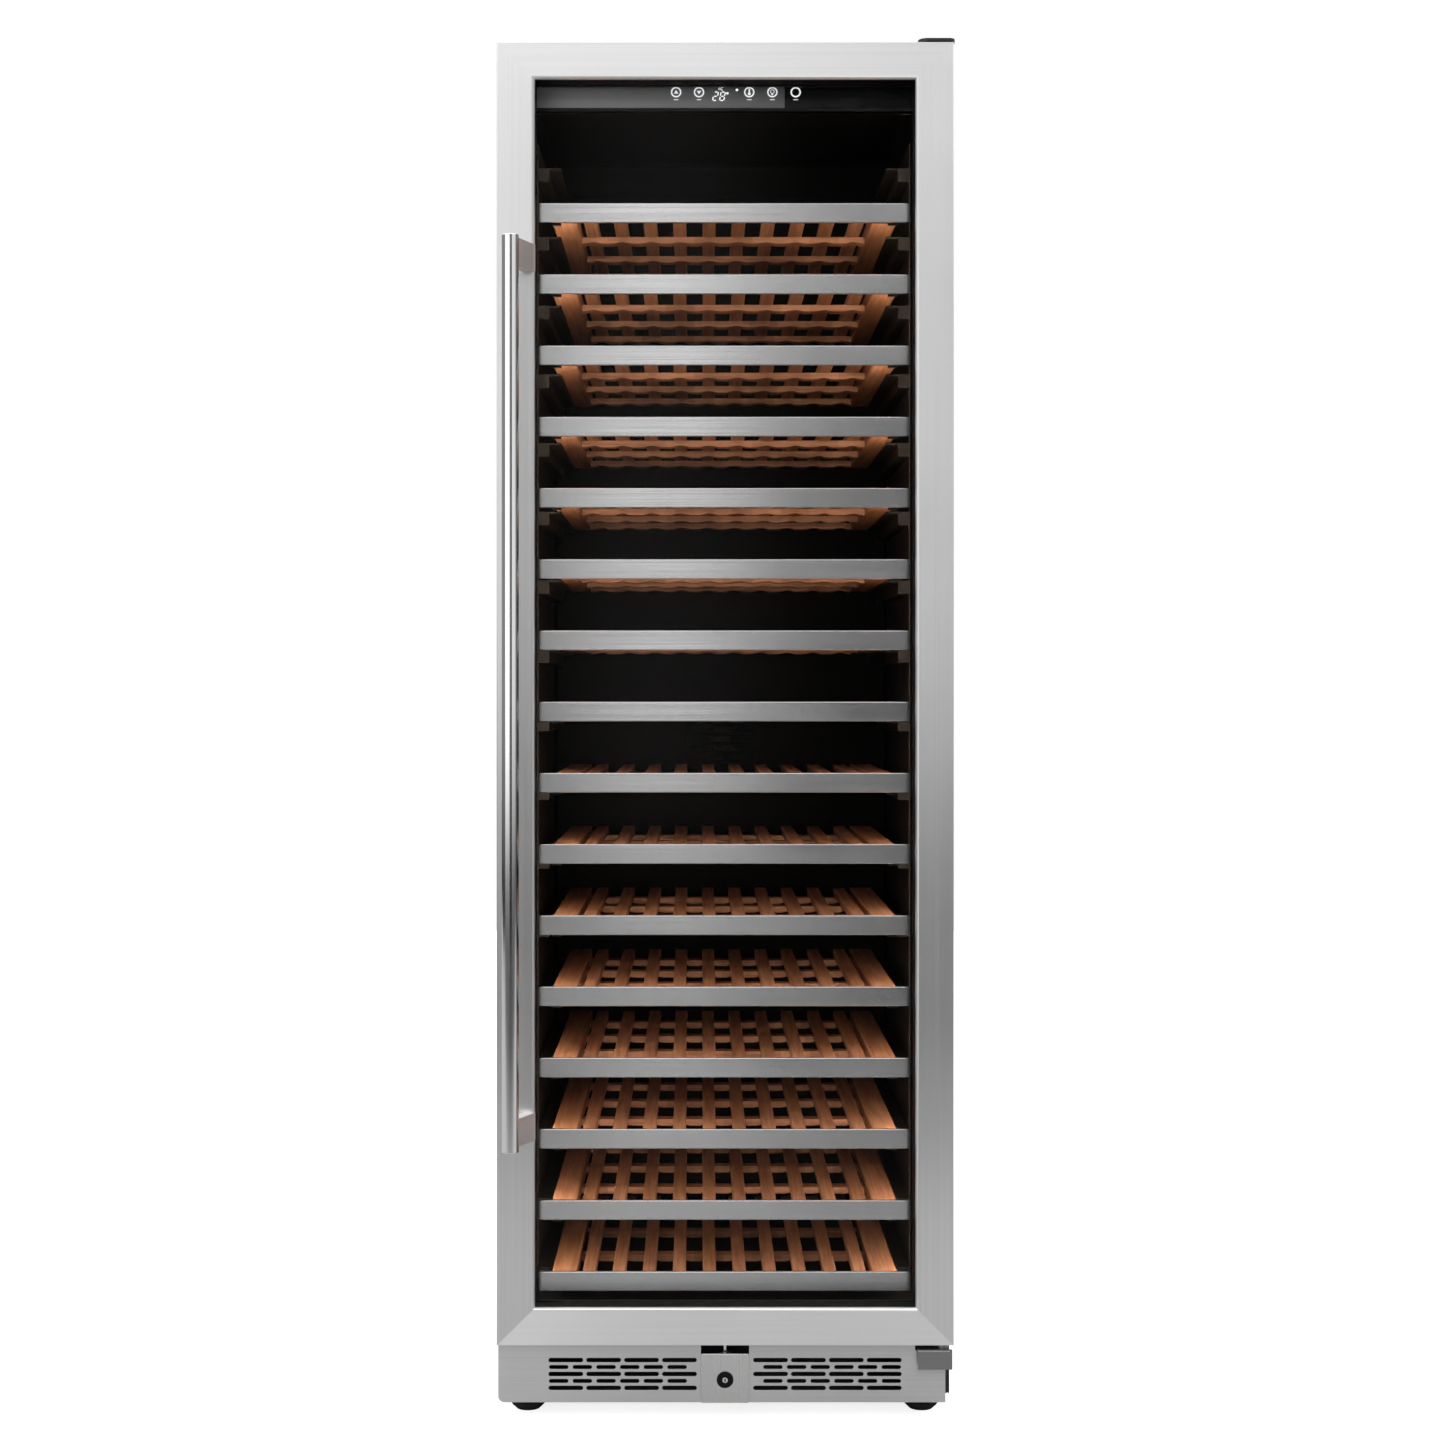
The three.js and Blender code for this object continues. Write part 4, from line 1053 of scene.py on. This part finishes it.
class WINECOOLER_OT_base(Operator):
    """Builds the base tray, the four levelling feet and the compressor"""
    bl_idname = "winecooler.base"
    bl_label = "Base and feet"

    def execute(self, context):
        low, high = extent("base_frame")
        bm = bmesh.new()
        feet = [f"foot_{place}" for place in ("front_left", "front_right", "rear_left", "rear_right")]
        centres = [(extent(node)[0] + extent(node)[1]) / 2 for node in feet]
        thick = 3
        holes = [arc((spot.x, -spot.y), 5.8, 360, 0, 16)[:-1] for spot in centres]
        outline = rounded(low.x, high.x, -high.y, -low.y, 4)
        tray = plate(bm, [outline] + holes, -thick / 2, thick / 2, 0.4)
        lay = Matrix.Translation((0, 0, low.z + thick / 2)) @ Matrix.Rotation(math.pi / 2, 4, "X")
        bmesh.ops.transform(bm, matrix=lay, verts=tray)
        for side in (-1, 1):
            x0, x1 = sorted((side * high.x, side * (high.x - thick)))
            block(bm, (x0, low.y, low.z + 0.5), (x1, high.y, high.z), 0.6)
        block(bm, (low.x + thick, low.y, 95), (high.x - thick, low.y + 20, high.z), 1)
        finish_piece("base_tray", bm, "cabinet", ["painted_black"], "black_painted_steel", "base_frame")
        for node, centre in zip(feet, centres):
            low, high = extent(node)
            radius = (high.x - low.x) / 2
            bm = bmesh.new()
            pad = [(0, 0), (14, 0), (15.5, 0.4), (21.6, 6.2), (radius, 7.6), (radius, 15.8), (radius - 0.6, 17),
                   (19, 17.4)]
            turned(bm, pad, (centre.x, centre.y, 0), (0, 0, 1), 40, 0)
            turned(bm, [(19, 17.4), (19, 21.0), (18.3, 21.7), (5, 21.7)], (centre.x, centre.y, 0), (0, 0, 1), 6, 1)
            thread = [(5, 21.7)]
            for turn in range(22):
                z = 22.5 + turn * 1.7
                thread += [(4.9, z), (4.1, z + 0.85)]
            thread += [(4.3, high.z), (0, high.z)]
            turned(bm, thread, (centre.x, centre.y, 0), (0, 0, 1), 20, 1)
            finish_piece(f"{node}_pad", bm, node, ["foot_rubber", "zinc"], "foot_rubber", node)
        low, high = extent("compressor")
        centre, radius = (low + high) / 2, (high.x - low.x) / 2
        bm = bmesh.new()
        floor, top, seam = low.z, high.z, (low.z + high.z) / 2 - 4
        turned(bm, [(0, floor), (46, floor), (55, floor + 3), (60, floor + 9), (radius - 1, floor + 18),
                    (radius - 1, seam - 1.2), (radius, seam - 0.8), (radius, seam + 0.8), (radius - 1, seam + 1.2),
                    (radius - 1, top - 26), (58, top - 15), (48, top - 6), (30, top - 1.5), (0, top)],
               (centre.x, centre.y, 0), (0, 0, 1), 48)
        finish_piece("compressor_shell", bm, "cabinet", ["hinge_black"], "black_painted_steel", "compressor")
        return {"FINISHED"}


# ---------------------------------------------------------------- stage

class WINECOOLER_OT_stage(Operator):
    """Sets up the pale floor, the soft studio light and the camera"""
    bl_idname = "winecooler.stage"
    bl_label = "Studio"

    def execute(self, context):
        scene, stage = context.scene, context.scene.wine_cooler_stage
        scene.view_settings.view_transform = "Standard"
        self.floor()
        self.sky(scene)
        self.lamps(stage)
        lens = bpy.data.cameras.new("camera")
        lens.lens, lens.sensor_width, lens.shift_x, lens.shift_y = stage.lens, 36, 0.0176, -0.0204
        camera = bpy.data.objects.new("camera", lens)
        camera.location = (-0.0366, FRONT - stage.distance, 0.9506)
        camera.rotation_euler = (math.pi / 2, 0, 0)
        scene.collection.objects.link(camera)
        scene.camera = camera
        return {"FINISHED"}

    def floor(self):
        bm = bmesh.new()
        bmesh.ops.create_grid(bm, x_segments=1, y_segments=1, size=6)
        mesh = bpy.data.meshes.new("floor")
        bm.to_mesh(mesh)
        bm.free()
        finish = Finish("floor_paper", Roughness=0.9, Specular_IOR_Level=0.0)
        depth = finish.add("ShaderNodeSeparateXYZ", {"Vector": finish.coords}).outputs["Y"]
        finish.set(Base_Color=finish.ramp(finish.range(depth, FRONT - 4, FRONT, 0, 1), [
            (0.2, grey(0.05)), (0.5, grey(0.13)), (0.72, grey(0.27)), (1, grey(0.31))]))
        seen = finish.add("ShaderNodeLightPath").outputs["Is Camera Ray"]
        glow = finish.add("ShaderNodeEmission", {"Color": (1, 1, 1, 1), "Strength": 0.82})
        white = finish.add("ShaderNodeBsdfDiffuse", {"Color": (0.4, 0.4, 0.4, 1)})
        pair = finish.add("ShaderNodeAddShader", {0: glow.outputs[0], 1: white.outputs[0]})
        both = finish.add("ShaderNodeMixShader", {0: seen, 1: finish.shader.outputs[0], 2: pair.outputs[0]})
        finish.surface(both.outputs[0], "Material Output")
        mesh.materials.append(finish.material)
        floor = bpy.data.objects.new("floor", mesh)
        bpy.context.scene.collection.objects.link(floor)

    def sky(self, scene):
        """White to the camera. What the steel mirrors is bright overhead, to the left and in a strip straight
        ahead, and dark to the right and just under the horizon."""
        world = bpy.data.worlds.new("studio")
        scene.world = world
        world.use_nodes = True
        nodes = Nodes(world.node_tree)

        def ramp(value, stops):
            return nodes.ramp(value, [(spot, grey(level)) for spot, level in stops])

        def turn(degrees):
            return 0.5 + degrees / 360

        def lift(degrees):
            return 0.5 + degrees / 180

        direction = nodes.add("ShaderNodeTexCoord").outputs["Generated"]
        parts = nodes.add("ShaderNodeSeparateXYZ", {"Vector": direction}).outputs
        azimuth = nodes.sum(parts["X"], nodes.sum(parts["Y"], -1.0, "MULTIPLY"), "ARCTAN2")
        around = nodes.range(azimuth, -math.pi, math.pi, 0, 1)
        height = nodes.add("ShaderNodeMath", {0: parts["Z"]}, operation="ARCSINE").outputs[0]
        above = nodes.range(height, -math.pi / 2, math.pi / 2, 0, 1)
        sides = ramp(around, [(0, 0.2), (turn(-85), 0.15), (turn(-72), 0.15), (turn(-62), 1.0), (turn(-11), 1.0),
                              (turn(-7), 0.2), (turn(-4), 0.08), (turn(-1.8), 0.95), (turn(-0.3), 0.9),
                              (turn(2.5), 0.08), (turn(5.5), 0.02), (turn(21), 0.02), (turn(28), 0.55),
                              (turn(72), 0.5), (turn(84), 0.15), (1, 0.2)])
        levels = ramp(above, [(0, 0.1), (lift(-8), 0.06), (lift(-4.8), 0.05), (lift(-2.2), 0.6),
                              (lift(0), 0.85), (lift(12), 0.82), (1, 0.9)])
        overhead = ramp(above, [(0, 0.0), (lift(17), 0.0), (lift(22), 1.0), (1, 1.0)])
        joined = nodes.mix(1.0, nodes.mix(1.0, sides, levels, "MULTIPLY"), overhead, "LIGHTEN")
        mirrored = nodes.add("ShaderNodeBackground", {"Color": joined, "Strength": 1.7})
        white = nodes.add("ShaderNodeBackground", {"Color": (1, 1, 1, 1), "Strength": 1.0})
        seen = nodes.add("ShaderNodeLightPath").outputs["Is Camera Ray"]
        both = nodes.add("ShaderNodeMixShader", {0: seen, 1: mirrored.outputs[0], 2: white.outputs[0]})
        nodes.surface(both.outputs[0], "World Output")

    def lamps(self, stage):
        def area(name, spot, aim, size, power, colour=(1, 1, 1)):
            light = bpy.data.lights.new(name, "AREA")
            light.shape, light.size, light.size_y = "RECTANGLE", size[0], size[1]
            light.energy, light.color = power, colour
            lamp = bpy.data.objects.new(name, light)
            lamp.location = spot
            lamp.rotation_euler = (Vector(aim) - Vector(spot)).to_track_quat("-Z", "Y").to_euler()
            lamp.visible_glossy = lamp.visible_camera = False
            bpy.context.scene.collection.objects.link(lamp)

        area("key", (-1.8, -3.6, 1.9), (0, 0, 0.95), (2.2, 2.2), stage.key)
        area("fill", (2.4, -2.6, 1.4), (0, 0, 0.95), (1.6, 2.0), stage.key * 0.4)
        area("back", (0.6, 3.2, 2.4), (0, 0.3, 0.9), (2.4, 2.0), stage.key * 0.6)
        warm = (1.0, 0.84, 0.66)
        for side, name in ((-1, "lamp_left"), (1, "lamp_right")):
            x = side * 0.2495
            spot = (x, FRONT + 0.07, 0.95)
            area(name, spot, (x - side * 0.2, FRONT + 0.30, 0.95), (0.012, 1.58), stage.lamp, warm)
        area("lamp_middle", (0, FRONT + 0.068, 0.95), (0, FRONT + 0.5, 0.95), (0.4, 1.58), stage.lamp * 1.2, warm)


# ---------------------------------------------------------------- panel and registration

BUILD_ORDER = (
    WINECOOLER_OT_finishes,
    WINECOOLER_OT_door_frame,
    WINECOOLER_OT_door_glass,
    WINECOOLER_OT_handle,
    WINECOOLER_OT_hinges,
    WINECOOLER_OT_casing,
    WINECOOLER_OT_liner,
    WINECOOLER_OT_air_panel,
    WINECOOLER_OT_supports,
    WINECOOLER_OT_control_panel,
    WINECOOLER_OT_shelves,
    WINECOOLER_OT_kick_plate,
    WINECOOLER_OT_base,
    WINECOOLER_OT_stage,
)


class WINECOOLER_PT_build(Panel):
    """Lists the steps that build the wine cooler"""
    bl_idname = "WINECOOLER_PT_build"
    bl_label = "Wine cooler"
    bl_space_type = "VIEW_3D"
    bl_region_type = "UI"
    bl_category = "Wine cooler"

    def draw(self, context):
        for group in (context.scene.wine_cooler, context.scene.wine_cooler_stage):
            box = self.layout.box()
            for name in group.__annotations__:
                box.prop(group, name)
        for step in BUILD_ORDER:
            self.layout.operator(step.bl_idname)


CLASSES = (WineCoolerSettings, WineCoolerStage, *BUILD_ORDER, WINECOOLER_PT_build)


def register():
    for item in CLASSES:
        bpy.utils.register_class(item)
    bpy.types.Scene.wine_cooler = PointerProperty(type=WineCoolerSettings)
    bpy.types.Scene.wine_cooler_stage = PointerProperty(type=WineCoolerStage)


def unregister():
    del bpy.types.Scene.wine_cooler_stage
    del bpy.types.Scene.wine_cooler
    for item in reversed(CLASSES):
        bpy.utils.unregister_class(item)


def main():
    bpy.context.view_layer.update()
    register()
    for step in BUILD_ORDER:
        group, name = step.bl_idname.split(".")
        getattr(getattr(bpy.ops, group), name)()


if __name__ == "__main__":
    main()
